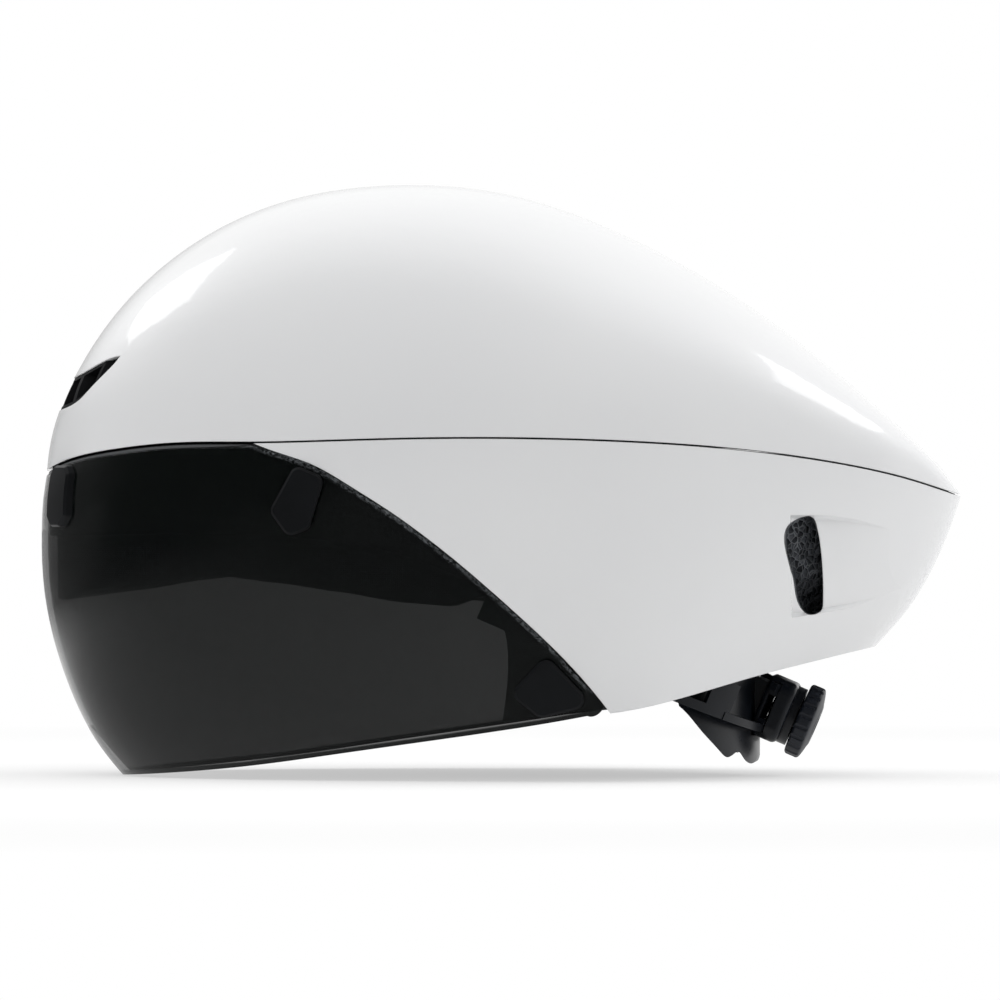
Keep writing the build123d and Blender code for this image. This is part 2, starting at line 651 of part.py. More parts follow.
cap_layer = lower_form(-CAP_OUT) - lower_form(-CAP_GAP)
front_cap = rounded_face(CAP_FRONT, CAP_RADII[0], lambda u, v: (-FAR, u, v))
side_cap = rounded_face(CAP_SIDE, CAP_RADII[1], lambda u, v: (u, 0, v))
rear_cap = rounded_face(CAP_REAR, CAP_RADII[2], lambda u, v: (u, 0, v))
cap_outlines = {
    "front": Solid.extrude(front_cap, Vector(CAP_REACH, 0, 0)),
    "side": Solid.extrude(side_cap, Vector(0, HALF_SPAN, 0)),
    "rear": Solid.extrude(rear_cap, Vector(0, HALF_SPAN, 0)),
}
seat = nodes["visor_frame"]
for kind in STATIONS:
    cap = one(cap_layer & cap_outlines[kind])
    point, normal = station_frame(kind)
    outer_face = max(cap.faces(), key=lambda f: (f.center() - Vector(*point)).dot(normal))
    cap = cap.chamfer(CAP_EDGE, None, outer_face.edges())
    cap = one(cap - station_disc(kind, MAGNET_RADIUS + FIT, -CAP_EDGE, MAGNET_OUT + FIT))
    magnet = station_disc(kind, MAGNET_RADIUS, -MAGNET_IN, MAGNET_OUT)
    steel_face = FRAME_OUT + STEEL_SINK
    steel = station_disc(kind, STEEL_RADIUS, -steel_face - STEEL_THICK, -steel_face)
    hole = station_disc(kind, MAGNET_RADIUS + 2 * FIT, -LENS - HOLE_OVER, CAP_EDGE)
    recess = station_disc(kind, STEEL_RADIUS + FIT, -steel_face - STEEL_THICK - FIT, 0)
    lens = lens - hole - mirrored(hole)
    seat = seat - recess - mirrored(recess)
    for side, turn in (("left", mirrored), ("right", lambda s: s)):
        nodes[f"magnet_cap_{kind}_{side}"] = turn(cap)
        nodes[f"magnet_{kind}_{side}"] = turn(magnet)
        nodes[f"steel_disc_{kind}_{side}"] = turn(steel)
nodes["visor_lens"] = one(lens)
nodes["visor_frame"] = one(seat)

# Comfort pads on the wall of the head room.
PAD_THICK = 4.0
PAD_FIT = 0.15
# Where each pad lies: its block as (x, x, y, y, z, z).
BROW_PAD = (-140, -78, -62, 62, 88, 110)
CROWN_PAD = (-92, 22, 11, 25, 142, 190)
SIDE_PAD = (-62, -6, 40, 90, 94, 114)
REAR_PAD = (30, 80, -30, 30, 92, 112)
pad_layer = head_form(PAD_FIT) - head_form(PAD_THICK)
nodes["brow_pad"] = one(pad_layer & block(*BROW_PAD))
for side, turn in (("left", mirrored), ("right", lambda s: s)):
    nodes[f"crown_pad_{side}"] = one(turn(pad_layer & block(*CROWN_PAD)))
    nodes[f"side_pad_{side}"] = one(turn(pad_layer & block(*SIDE_PAD)))
nodes["rear_pad"] = one(pad_layer & block(*REAR_PAD))

# Retention: racks, pinion and dial.
RACK_ROOT = 6.2
RACK_TIP = 4.45
RACK_TOP = 9.0
TOOTH_ROOT_HALF = 0.95
TOOTH_TIP_HALF = 0.35
RACK_END = 15.5
BROAD_FROM = 34.0
BROAD_TO = 112.0
BROAD_LOW = -4.0
RACK_TEETH = 6
PINION_HALF = 1.3
PINION_ROOT = 3.85
PINION_TIP = 5.65
SHAFT_RADIUS = 2.0
SHAFT_FIT = 0.06
PIVOT_RADIUS = 1.2


def sector(r0, r1, z0, z1, from_deg, to_deg):
    """Ring sector in the arc frame."""
    def at(r, degrees):
        a = math.radians(degrees)
        return Vector(r * math.cos(a), r * math.sin(a), z0)

    middle = (from_deg + to_deg) / 2
    edges = [Edge.make_three_point_arc(at(r0, from_deg), at(r0, middle), at(r0, to_deg)),
             Edge.make_line(at(r0, to_deg), at(r1, to_deg)),
             Edge.make_three_point_arc(at(r1, to_deg), at(r1, middle), at(r1, from_deg)),
             Edge.make_line(at(r1, from_deg), at(r0, from_deg))]
    return Solid.extrude(Face(Wire(edges)), Vector(0, 0, z1 - z0))


def in_arc(shape):
    return shape.moved(ARC.location)


def spoke_cylinder(radius, x0, x1):
    return Solid.make_cylinder(radius, x1 - x0, Plane(origin=(x0, 0, 0), z_dir=(1, 0, 0)))


BAND_LAP = 2.0
BAND_OVER = 3.0
BAND_WINDOWS = ((44, 54), (59, 69), (74, 82))
WINDOW_LOW = -0.8
WINDOW_HIGH = 5.6
TEMPLE_THICK = 3.5
TEMPLE_LOW = -3.0
TEMPLE_HIGH = 8.0
TEMPLE_FROM = 86.0
TEMPLE_TO = 110.0
R = ARC_RADIUS
pitch_angle = 360 / TEETH * PITCH_RADIUS / ARC_RADIUS
band = sector(R - RACK_HALF, R + RACK_HALF, RACK_ROOT, RACK_TOP, -RACK_END, BROAD_FROM + BAND_LAP)
for k in range(-RACK_TEETH, RACK_TEETH):
    rows = [(-TOOTH_ROOT_HALF, RACK_ROOT + FIT), (TOOTH_ROOT_HALF, RACK_ROOT + FIT), (TOOTH_TIP_HALF, RACK_TIP),
            (-TOOTH_TIP_HALF, RACK_TIP)]
    tooth_face = outline_face(polygon(rows), lambda u, v: (R - RACK_HALF, u, v))
    tooth = Solid.extrude(tooth_face, Vector(2 * RACK_HALF, 0, 0))
    band = band + tooth.rotate(Axis.Z, (k + 0.5) * pitch_angle)
band = band + sector(R - BAND_HALF, R + BAND_HALF, BROAD_LOW, RACK_TOP, BROAD_FROM, BROAD_TO)
for window in BAND_WINDOWS:
    band = band - sector(R - BAND_OVER, R + BAND_OVER, WINDOW_LOW, WINDOW_HIGH, *window)
band = one(band)
nodes["rack_band_right"] = in_arc(band)
flipped = band.rotate(Axis.X, 180)
nodes["rack_band_left"] = in_arc(flipped)
temple = sector(R - BAND_HALF - TEMPLE_THICK, R - BAND_HALF - FIT, TEMPLE_LOW, TEMPLE_HIGH,
                TEMPLE_FROM, TEMPLE_TO)
nodes["temple_pad_right"] = in_arc(temple)
nodes["temple_pad_left"] = in_arc(temple.rotate(Axis.X, 180))

ROOT_TURN = 10.5
TIP_TURN = 3.6
TOP_TURN = 90
pinion_rows = []
for k in range(TEETH):
    base = 360 / TEETH * k + TOP_TURN
    for turn, r in ((-ROOT_TURN, PINION_ROOT), (-TIP_TURN, PINION_TIP), (TIP_TURN, PINION_TIP),
                    (ROOT_TURN, PINION_ROOT)):
        a = math.radians(base + turn)
        pinion_rows.append((r * math.cos(a), r * math.sin(a)))
pinion_face = outline_face(polygon(pinion_rows), lambda u, v: (R - PINION_HALF, u, v))
pinion = Solid.extrude(pinion_face, Vector(2 * PINION_HALF, 0, 0))
# Places along the dial's axis, ahead of or behind the rack.
HOUSE_AHEAD = 5.0
SPLIT_AHEAD = 1.6
HOUSE_BEHIND = 5.5
KNOB_BEHIND = 8.75
KNOB_DEEP = 4.45
FACE_DEEP = 5.95
DOME_DEEP = 6.95
HOUSE_FRONT = R - HOUSE_AHEAD
HOUSE_SPLIT = R - SPLIT_AHEAD
HOUSE_BACK = R + HOUSE_BEHIND
KNOB_FRONT = R + KNOB_BEHIND
KNOB_SIDE = KNOB_FRONT + KNOB_DEEP
KNOB_BACK = KNOB_FRONT + FACE_DEEP
KNOB_DOME = KNOB_FRONT + DOME_DEEP
SQUARE = 2.8
SHAFT_PROUD = 0.3
PIVOT_SHORT = 0.8
DRIVE_SHORT = 2.6
SCREW_RADIUS = 0.9
pinion = pinion + spoke_cylinder(SHAFT_RADIUS, R, HOUSE_BACK + SHAFT_PROUD)
pinion = pinion + spoke_cylinder(PIVOT_RADIUS, HOUSE_FRONT + PIVOT_SHORT, R)
drive_from = Plane((HOUSE_BACK, -SQUARE / 2, -SQUARE / 2))
pinion = pinion + Solid.make_box(KNOB_BACK - DRIVE_SHORT - HOUSE_BACK, SQUARE, SQUARE, drive_from)
pinion = pinion - spoke_cylinder(SCREW_RADIUS + FIT, HOUSE_BACK, KNOB_BACK)
nodes["dial_pinion"] = in_arc(one(pinion))

HOUSE_WIDE = 32.0
HOUSE_TALL = 22.0
HOUSE_CORNER = 5.0
HOUSE_ROUND = 2.2
COVER_ROUND = 1.2
RING_SINK = 3.0
RACK_FIT = 0.3
SLOT_TURN = 30.0
PIVOT_SEAT = 0.5
RING_OUT = 10.5
RING_IN = 8.3
RING_BEHIND = 8.2
RING_BACK = R + RING_BEHIND
CLICKS = 24
CLICK_RADIUS = 0.5
CLICK_START = 0.2


def house_block(x0, x1):
    outline = Plane.YZ.offset(x0) * RectangleRounded(HOUSE_WIDE, HOUSE_TALL, HOUSE_CORNER)
    return one(extrude(outline, x1 - x0))


slot = sector(R - RACK_HALF - RACK_FIT, R + RACK_HALF + RACK_FIT, -RACK_TOP - RACK_FIT, RACK_TOP + RACK_FIT,
              -SLOT_TURN, SLOT_TURN)
cover = house_block(HOUSE_FRONT, HOUSE_SPLIT - FIT)
cover = one(cover.fillet(COVER_ROUND, cover.faces().sort_by(Axis.X)[0].edges()))
cover = cover - slot - spoke_cylinder(PIVOT_RADIUS + SHAFT_FIT, HOUSE_FRONT + PIVOT_SEAT, R)
house = house_block(HOUSE_SPLIT, HOUSE_BACK)
house = one(house.fillet(HOUSE_ROUND, house.faces().sort_by(Axis.X)[-1].edges()))
house = house + spoke_cylinder(RING_OUT, HOUSE_BACK - RING_SINK, RING_BACK)
house = house - spoke_cylinder(RING_IN, HOUSE_BACK, RING_BACK + OVERRUN)
for k in range(CLICKS):
    notch = spoke_cylinder(CLICK_RADIUS, HOUSE_BACK + CLICK_START, RING_BACK + OVERRUN)
    a = math.radians(360 / CLICKS * k)
    house = house - notch.moved(Location((0, RING_IN * math.cos(a), RING_IN * math.sin(a))))
house = house - slot - spoke_cylinder(SHAFT_RADIUS + SHAFT_FIT, HOUSE_SPLIT - OVERRUN, HOUSE_BACK + OVERRUN)
nodes["dial_housing"] = in_arc(one(house))
nodes["housing_cover"] = in_arc(one(cover))

KNOB_RADIUS = 13.0
KNOB_ROUND = 1.2
ROUND_MIDDLE = 0.35
# Dome of the knob's face, as (behind its side, in from its rim).
DOME_POINTS = [(1.2, 1.3), (2.1, 5.0)]
DOME_WAY = (0.7, 0, -0.1)
GRIPS = 20
GRIP_RADIUS = 1.3
GRIP_OUT = 0.85
HEAD_WELL = 3.7
HEAD_DEEP = 1.1
HUB_RADIUS = 3.6
HUB_GAP = 0.4
HUB_SINK = 0.5
BORE_LONG = 20.0
BORE_LEAD = 0.7
SCREW_HEAD = 3.0
HEAD_SUNK = 0.1
SCREW_START = 2.0
CROSS_DEEP = 1.0
CROSS_SINK = 0.7
CROSS_LONG = 3.6
CROSS_WIDE = 0.7
dome = [(KNOB_SIDE + out, 0, KNOB_RADIUS - rim) for out, rim in DOME_POINTS]
knob_face = Face(Wire([
    Edge.make_line((KNOB_FRONT, 0, 0), (KNOB_FRONT, 0, KNOB_RADIUS - KNOB_ROUND)),
    Edge.make_three_point_arc((KNOB_FRONT, 0, KNOB_RADIUS - KNOB_ROUND),
                              (KNOB_FRONT + ROUND_MIDDLE, 0, KNOB_RADIUS - ROUND_MIDDLE),
                              (KNOB_FRONT + KNOB_ROUND, 0, KNOB_RADIUS)),
    Edge.make_line((KNOB_FRONT + KNOB_ROUND, 0, KNOB_RADIUS), (KNOB_SIDE, 0, KNOB_RADIUS)),
    Edge.make_spline([(KNOB_SIDE, 0, KNOB_RADIUS), *dome, (KNOB_DOME, 0, 0)],
                     tangents=[DOME_WAY, (0, 0, -1)]),
    Edge.make_line((KNOB_DOME, 0, 0), (KNOB_FRONT, 0, 0)),
]))
knob = Solid.revolve(knob_face, 360, Axis.X)
for k in range(GRIPS):
    a = math.radians(360 / GRIPS * (k + 0.5))
    grip = spoke_cylinder(GRIP_RADIUS, KNOB_FRONT - OVERRUN, KNOB_DOME + OVERRUN)
    reach = KNOB_RADIUS + GRIP_OUT
    knob = knob - grip.moved(Location((0, reach * math.cos(a), reach * math.sin(a))))
knob = knob - spoke_cylinder(HEAD_WELL, KNOB_BACK - HEAD_DEEP, KNOB_DOME + OVERRUN)
knob = knob + spoke_cylinder(HUB_RADIUS, HOUSE_BACK + HUB_GAP, KNOB_FRONT + HUB_SINK)
bore = Solid.make_box(BORE_LONG, SQUARE + 2 * FIT, SQUARE + 2 * FIT,
                      Plane((HOUSE_BACK, -SQUARE / 2 - FIT, -SQUARE / 2 - FIT)))
knob = knob - bore - spoke_cylinder(SHAFT_RADIUS + 2 * FIT, HOUSE_BACK, HOUSE_BACK + BORE_LEAD)
nodes["dial_knob"] = in_arc(one(knob))
screw = spoke_cylinder(SCREW_HEAD, KNOB_BACK - HEAD_DEEP + FIT, KNOB_BACK - HEAD_SUNK)
screw = screw + spoke_cylinder(SCREW_RADIUS, HOUSE_BACK + SCREW_START, KNOB_BACK - OVERRUN)
cross_from = Plane((KNOB_BACK - CROSS_SINK, -CROSS_LONG / 2, -CROSS_WIDE / 2))
cross = Solid.make_box(CROSS_DEEP, CROSS_LONG, CROSS_WIDE, cross_from)
screw = screw - cross - cross.rotate(Axis.X, 90)
nodes["dial_screw"] = in_arc(one(screw))


def hub_sector(r0, r1, x0, x1, from_deg, to_deg):
    """Ring sector about the dial axis."""
    flat = sector(r0, r1, 0, x1 - x0, from_deg, to_deg)
    return flat.moved(Plane(origin=(x0, 0, 0), x_dir=(0, 1, 0), z_dir=(1, 0, 0)).location)


SPRING_GAP = 0.8
SPRING_THICK = 1.2
SPRING_RING = 4.8
SPRING_ROOT = 4.5
ARM_IN = 6.5
ARM_OUT = 7.2
CLICK_IN = 6.8
CLICK_OUT = 7.9
ROOT_SPAN = 14
ARM_START = 5
CLICK_TURN = 104
ARM_END = 110
SPRING_FROM = HOUSE_BACK + SPRING_GAP
SPRING_TO = SPRING_FROM + SPRING_THICK
spring = spoke_cylinder(SPRING_RING, SPRING_FROM, SPRING_TO)
spring = spring - spoke_cylinder(HUB_RADIUS + FIT, SPRING_FROM - OVERRUN, SPRING_TO + OVERRUN)
for start in (0, 180):
    spring = spring + hub_sector(SPRING_ROOT, ARM_OUT, SPRING_FROM, SPRING_TO, start, start + ROOT_SPAN)
    end = start + ARM_END
    spring = spring + hub_sector(ARM_IN, ARM_OUT, SPRING_FROM, SPRING_TO, start + ARM_START, end)
    spring = spring + hub_sector(CLICK_IN, CLICK_OUT, SPRING_FROM, SPRING_TO, start + CLICK_TURN, end)
nodes["click_spring"] = in_arc(one(spring))

# Nape cradle with four lobes, its spine and the rail that it slides in.
CRADLE_X = 27.5
CRADLE_OUT = 63.5
CRADLE_THICK = 2.5
CRADLE_BOTTOM = [(65.8, 25), (73, 16.5), (79.2, 9), (81.8, 7.0), (84.7, 8.8), (87.1, 5.6), (89.1, 4.4),
                 (90.7, 6.6), (93, 13)]
CRADLE_TOP = [(93, 13), (93, 37), (62, 41), (65.8, 25)]
NAPE_OUTLINE = [(69, 33), (73.5, 20), (80, 12.5), (86.2, 12.5), (86.2, 33)]
NAPE_THICK = 3.5
NAPE_CLEAR = 12.5
BRACKET_DEEP = 5.4
BRACKET_WIDE = 24.0
BRACKET_TALL = 16.0
BRACKET_AHEAD = 5.5
HOUSE_ROOM = 0.1
HOUSE_CUT = 12.0


def upright_ring(r_in, r_out):
    base = Plane((CRADLE_X, 0, LOW))
    return Solid.make_cylinder(r_out, 2 * HEAD_RISE, base) - Solid.make_cylinder(r_in, 2 * HEAD_RISE, base)


cradle_outline = [CRADLE_BOTTOM] + [[a, b] for a, b in zip(CRADLE_TOP, CRADLE_TOP[1:])]
cradle = upright_ring(CRADLE_OUT - CRADLE_THICK, CRADLE_OUT) & side_prism(cradle_outline)
bracket_from = Plane((HOUSE_FRONT - BRACKET_AHEAD, -BRACKET_WIDE / 2, -BRACKET_TALL / 2))
cradle = cradle + in_arc(Solid.make_box(BRACKET_DEEP, BRACKET_WIDE, BRACKET_TALL, bracket_from))
SPINE_X = 88.6
SPINE_THICK = 2.4
SPINE_HALF = 7.0
SPINE_LOW = 33.0
SPINE_TOP = 72.0
DETENTS = (56, 60, 64, 68)
DETENT_RADIUS = 0.6
RAIL_LOW = 52.0
RAIL_TOP = 85.0
RAIL_BACK = 1.3
RAIL_SIDE = 1.8
RAIL_PLAY = 0.3
RAIL_SIDE_PLAY = 0.4
RAIL_CAP = 2.5
RAIL_SEAT = 0.05
SLOT_LOW = 30.0
SLOT_TOP_GAP = 0.1
spine = block(SPINE_X, SPINE_X + SPINE_THICK, -SPINE_HALF, SPINE_HALF, SPINE_LOW, SPINE_TOP)
for z in DETENTS:
    across = Plane(origin=(SPINE_X, -2 * SPINE_HALF, z), z_dir=(0, 1, 0))
    spine = spine - Solid.make_cylinder(DETENT_RADIUS, 4 * SPINE_HALF, across)
cradle = cradle + spine
room_wide = HOUSE_WIDE + 2 * HOUSE_ROOM
room_tall = HOUSE_TALL + 2 * HOUSE_ROOM
house_from = Plane((HOUSE_FRONT - FIT, -room_wide / 2, -room_tall / 2))
cradle = cradle - in_arc(Solid.make_box(HOUSE_CUT, room_wide, room_tall, house_from))
nodes["nape_cradle"] = one(cradle)
nape_layer = upright_ring(CRADLE_OUT - CRADLE_THICK - NAPE_THICK, CRADLE_OUT - CRADLE_THICK - FIT)
nape = nape_layer & side_prism(polygon(NAPE_OUTLINE)) & block(0, FAR, NAPE_CLEAR, FAR, 0, FAR)
nodes["nape_pad_right"] = one(nape)
nodes["nape_pad_left"] = mirrored(one(nape))


def round_spine(front_back, sides, low, top):
    """Block round the spine, wider by front_back along X and by sides along Y."""
    return block(SPINE_X - front_back, SPINE_X + SPINE_THICK + front_back,
                 -SPINE_HALF - sides, SPINE_HALF + sides, low, top)


rail = round_spine(RAIL_BACK, RAIL_SIDE, RAIL_LOW, RAIL_TOP)
rail = rail - round_spine(RAIL_PLAY, RAIL_SIDE_PLAY, SLOT_LOW, RAIL_TOP - RAIL_CAP)
nodes["height_rail"] = one(rail)
rail_slot = round_spine(RAIL_BACK + RAIL_SEAT, RAIL_SIDE + RAIL_SEAT, SLOT_LOW, RAIL_TOP + SLOT_TOP_GAP)
nodes["lower_liner"] = one(nodes["lower_liner"] - rail_slot)

for name, shape in nodes.items():
    export_step(shape, f"parts/{name}.step")
    print(name, round(shape.volume), shape.bounding_box(), shape.is_valid)
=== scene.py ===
"""Aero time trial helmet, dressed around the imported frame. Metres, nose -X, tail +X, rider's left -Y."""
import json
import math

import bmesh
import bpy
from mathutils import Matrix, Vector
from mathutils.bvhtree import BVHTree


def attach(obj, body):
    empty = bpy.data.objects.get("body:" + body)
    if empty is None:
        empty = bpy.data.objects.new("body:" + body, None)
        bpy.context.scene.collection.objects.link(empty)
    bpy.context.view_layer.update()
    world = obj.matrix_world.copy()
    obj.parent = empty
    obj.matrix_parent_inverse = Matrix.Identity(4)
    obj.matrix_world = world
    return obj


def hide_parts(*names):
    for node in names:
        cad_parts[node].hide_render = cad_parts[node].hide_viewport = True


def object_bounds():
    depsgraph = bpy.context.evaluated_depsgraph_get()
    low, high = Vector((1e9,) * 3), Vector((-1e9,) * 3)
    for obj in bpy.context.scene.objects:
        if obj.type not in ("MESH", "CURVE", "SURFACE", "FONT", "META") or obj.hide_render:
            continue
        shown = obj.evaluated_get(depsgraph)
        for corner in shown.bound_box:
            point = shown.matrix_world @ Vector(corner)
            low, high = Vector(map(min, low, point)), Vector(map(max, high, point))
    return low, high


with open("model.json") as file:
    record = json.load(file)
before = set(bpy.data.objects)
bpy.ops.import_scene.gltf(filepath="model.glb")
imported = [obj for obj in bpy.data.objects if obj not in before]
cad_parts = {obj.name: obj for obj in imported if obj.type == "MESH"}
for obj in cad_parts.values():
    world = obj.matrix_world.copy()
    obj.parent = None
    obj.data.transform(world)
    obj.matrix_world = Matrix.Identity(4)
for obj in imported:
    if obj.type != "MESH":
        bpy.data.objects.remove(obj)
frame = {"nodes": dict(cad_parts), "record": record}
cad_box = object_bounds()
nodes = frame["nodes"]
scene = bpy.context.scene
scene.view_settings.view_transform = "Standard"


def link(obj):
    scene.collection.objects.link(obj)
    return obj


# Camera: the photograph's viewpoint, 3.3 m away and 4.5 degrees round towards the tail.
DISTANCE = 3.3
YAW = math.radians(4.5)
PICTURE = 0.35
SENSOR = 36
AIM = Vector((0, 0, 0.09597))
CLIP_START = 0.1
CLIP_END = 100


def make_camera():
    data = bpy.data.cameras.new("camera")
    camera = link(bpy.data.objects.new("camera", data))
    camera.location = AIM + Vector((math.sin(YAW), -math.cos(YAW), 0)) * DISTANCE
    camera.rotation_euler = (math.pi / 2, 0, YAW)
    data.sensor_width = SENSOR
    data.lens = SENSOR * DISTANCE / PICTURE
    data.clip_start = CLIP_START
    data.clip_end = CLIP_END
    scene.camera = camera


make_camera()


class Tree:
    """A node tree with short calls. Most give the socket that the next call takes."""

    def __init__(self, tree):
        self.tree = tree

    def feed(self, socket, value):
        """Joins a socket to another, or sets it to a number or a colour."""
        if isinstance(value, bpy.types.NodeSocket):
            self.tree.links.new(value, socket)
        elif isinstance(value, tuple) and socket.type == "RGBA":
            socket.default_value = (*value, 1)
        else:
            socket.default_value = value

    def node(self, kind, values=None, **settings):
        made = self.tree.nodes.new(kind)
        for key, value in settings.items():
            setattr(made, key, value)
        for key, value in (values or {}).items():
            self.feed(made.inputs[key], value)
        return made

    def coordinates(self, kind="Object"):
        """Place on the object in metres, or in the world its direction."""
        return self.node("ShaderNodeTexCoord").outputs[kind]

    def place(self, kind="Object"):
        return self.node("ShaderNodeSeparateXYZ", {"Vector": self.coordinates(kind)}).outputs

    def math(self, operation, *values):
        return self.node("ShaderNodeMath", dict(enumerate(values)), operation=operation).outputs["Value"]

    def vector(self, operation, first, second):
        return self.node("ShaderNodeVectorMath", {0: first, 1: second}, operation=operation).outputs["Vector"]

    def mixed(self, share, first, second):
        return self.node("ShaderNodeMix", {0: share, 6: first, 7: second}, data_type="RGBA").outputs[2]

    def remap(self, value, low, high, first=0.0, last=1.0):
        values = {"Value": value, "From Min": low, "From Max": high, "To Min": first, "To Max": last}
        return self.node("ShaderNodeMapRange", values).outputs["Result"]

    def ramp(self, value, stops):
        """Colour from a value, by stops of (value, colour)."""
        made = self.node("ShaderNodeValToRGB", {"Fac": value})
        elements = made.color_ramp.elements
        while len(elements) < len(stops):
            elements.new(0.5)
        for element, (position, colour) in zip(elements, stops):
            element.position = position
            element.color = (*colour, 1)
        return made.outputs["Color"]

    def levels(self, value, low, high, stops):
        """Grey level from a value between low and high, by stops of (value, level)."""
        greys = [((at - low) / (high - low), (level,) * 3) for at, level in stops]
        return self.ramp(self.remap(value, low, high), greys)

    def above(self, line, low, high, first, last):
        """Height over a line of (x, z) points, mapped from low..high to first..last."""
        base = min(z for x, z in line)
        top = max(z for x, z in line)
        shares = [(x, (z - base) / (top - base)) for x, z in line]
        place = self.place()
        height = self.remap(self.levels(place["X"], line[0][0], line[-1][0], shares), 0, 1, base, top)
        return self.remap(self.math("SUBTRACT", place["Z"], height), low, high, first, last)

    def noise(self, scale, detail):
        values = {"Vector": self.coordinates(), "Scale": scale, "Detail": detail}
        return self.node("ShaderNodeTexNoise", values).outputs

    def cells(self, vector, scale, feature, randomness=1.0):
        values = {"Vector": vector, "Scale": scale, "Randomness": randomness}
        return self.node("ShaderNodeTexVoronoi", values, feature=feature).outputs


class Shader(Tree):
    """A material, with calls that shape its surface."""

    def __init__(self, name):
        self.material = bpy.data.materials.new(name)
        self.material.use_nodes = True
        super().__init__(self.material.node_tree)
        self.surface = self.tree.nodes["Principled BSDF"]
        self.output = self.tree.nodes["Material Output"]

    def set(self, **values):
        for key, value in values.items():
            self.feed(self.surface.inputs[key.replace("_", " ")], value)

    def bevel(self, radius, samples):
        edge = self.node("ShaderNodeBevel", {"Radius": radius}, samples=samples)
        self.set(Normal=edge.outputs["Normal"])

    def bump(self, height, strength, distance):
        """Bump laid over what bends the normal so far."""
        values = {"Height": height, "Strength": strength, "Distance": distance}
        normal = self.surface.inputs["Normal"]
        if normal.is_linked:
            values["Normal"] = normal.links[0].from_socket
        bent = self.node("ShaderNodeBump", values).outputs["Normal"]
        self.feed(normal, bent)
        return bent


# Materials. Texture scales count features per metre, and depths and bevels are in metres.
PATCHES = (0.3, 0.7)

SHELL_TONES = ((0.80, 0.805, 0.815), (0.83, 0.835, 0.84))
SHELL_ROUND = 0.0007
SHELL_ROUND_SAMPLES = 6
SHELL_CLOUDS = 9.0
SHELL_FLECKS = 1400.0
FLECK_DEPTH = 0.0002
SHELL_PEEL = 260.0
PEEL_DEPTH = 0.0004
SHELL_BUMP = 0.05


def gloss_white():
    s = Shader("shell_white")
    s.set(Roughness=0.3, Coat_Weight=1.0, Coat_Roughness=0.06, Coat_IOR=1.5)
    s.bevel(SHELL_ROUND, SHELL_ROUND_SAMPLES)
    clouds = s.noise(SHELL_CLOUDS, detail=2.0)["Fac"]
    s.set(Base_Color=s.ramp(clouds, list(zip(PATCHES, SHELL_TONES))))
    s.bump(s.noise(SHELL_FLECKS, detail=2.0)["Fac"], SHELL_BUMP, FLECK_DEPTH)
    s.set(Coat_Normal=s.bump(s.noise(SHELL_PEEL, detail=2.0)["Fac"], SHELL_BUMP, PEEL_DEPTH))
    return s.material


# Lower edge of the lens, its slanting rear edge and the seam over it, as (x, z). They follow the lines
# that the part is drawn by.
LENS_FOOT = [(-0.160, -0.0024), (-0.150, -0.0016), (-0.131, 0.0), (-0.107, 0.0021), (-0.0828, 0.0044),
             (-0.048, 0.0093), (-0.0136, 0.0143), (0.0205, 0.0195), (0.037, 0.0225), (0.043, 0.0236)]
LENS_EDGE = [(-0.0785, 0.1156), (-0.0705, 0.1126), (-0.064, 0.1106), (-0.0575, 0.1082), (-0.0507, 0.1048),
             (-0.0438, 0.1006), (-0.037, 0.0965), (-0.0301, 0.092), (-0.0233, 0.0873), (-0.0165, 0.0822),
             (-0.003, 0.0713), (0.0105, 0.0594), (0.024, 0.0468), (0.0373, 0.0324)]
SEAM = [(-0.160, 0.1054), (-0.153, 0.1080), (-0.147, 0.1099), (-0.138, 0.1118), (-0.130, 0.1131),
        (-0.122, 0.1141), (-0.115, 0.1148), (-0.109, 0.1152), (-0.103, 0.1155), (-0.096, 0.1156),
        (-0.09, 0.1156), (-0.078, 0.1156)]

LENS_TONE = (0.005, 0.0062, 0.006)
EDGE_GLINT_TONE = (0.16, 0.17, 0.18)
LENS_ROUND = 0.0005
LENS_ROUND_SAMPLES = 4
# A painted highlight along the slanting cut edge starts this far under its line, in sparkling spots.
GLINT_FROM = -0.0022
GLINT_FULL = -0.0012
GLINT_SPOT_SCALE = 1100.0
GLINT_SPOT_SPAN = (0.4, 0.7)
# The foot is nearly solid up to this far over its line. Over it the lens is clearer towards the tail, so that
# the inside seen through it is lighter there: painted light.
FOOT_FROM = 0.0012
FOOT_TO = 0.0018
FOOT_ALPHA = 0.93
LIGHT_INSIDE_SPAN = (-0.12, 0.0)
LIGHT_INSIDE_ALPHAS = (0.665, 0.625)
LENS_WAVES = 35.0
WAVE_STRENGTH = 0.02
WAVE_DEPTH = 0.001


def smoke_lens():
    s = Shader("lens_smoke")
    s.set(Roughness=0.03, IOR=1.45)
    s.bevel(LENS_ROUND, LENS_ROUND_SAMPLES)
    glint_band = s.above(LENS_EDGE, GLINT_FROM, GLINT_FULL, 0.0, 1.0)
    glint_spots = s.remap(s.noise(GLINT_SPOT_SCALE, detail=1.0)["Fac"], *GLINT_SPOT_SPAN)
    # Painted highlight: a lighter grey in sparkling spots is painted along the slanting cut edge, standing in
    # for glints.
    s.set(Base_Color=s.mixed(s.math("MULTIPLY", glint_band, glint_spots), LENS_TONE, EDGE_GLINT_TONE))
    # Painted light: the lens is made clearer towards the tail, which lightens the inside seen through it.
    clearer_for_light = s.remap(s.place()["X"], *LIGHT_INSIDE_SPAN, *LIGHT_INSIDE_ALPHAS)
    s.set(Alpha=s.above(LENS_FOOT, FOOT_FROM, FOOT_TO, FOOT_ALPHA, clearer_for_light))
    s.bump(s.noise(LENS_WAVES, detail=1.0)["Fac"], WAVE_STRENGTH, WAVE_DEPTH)
    return s.material


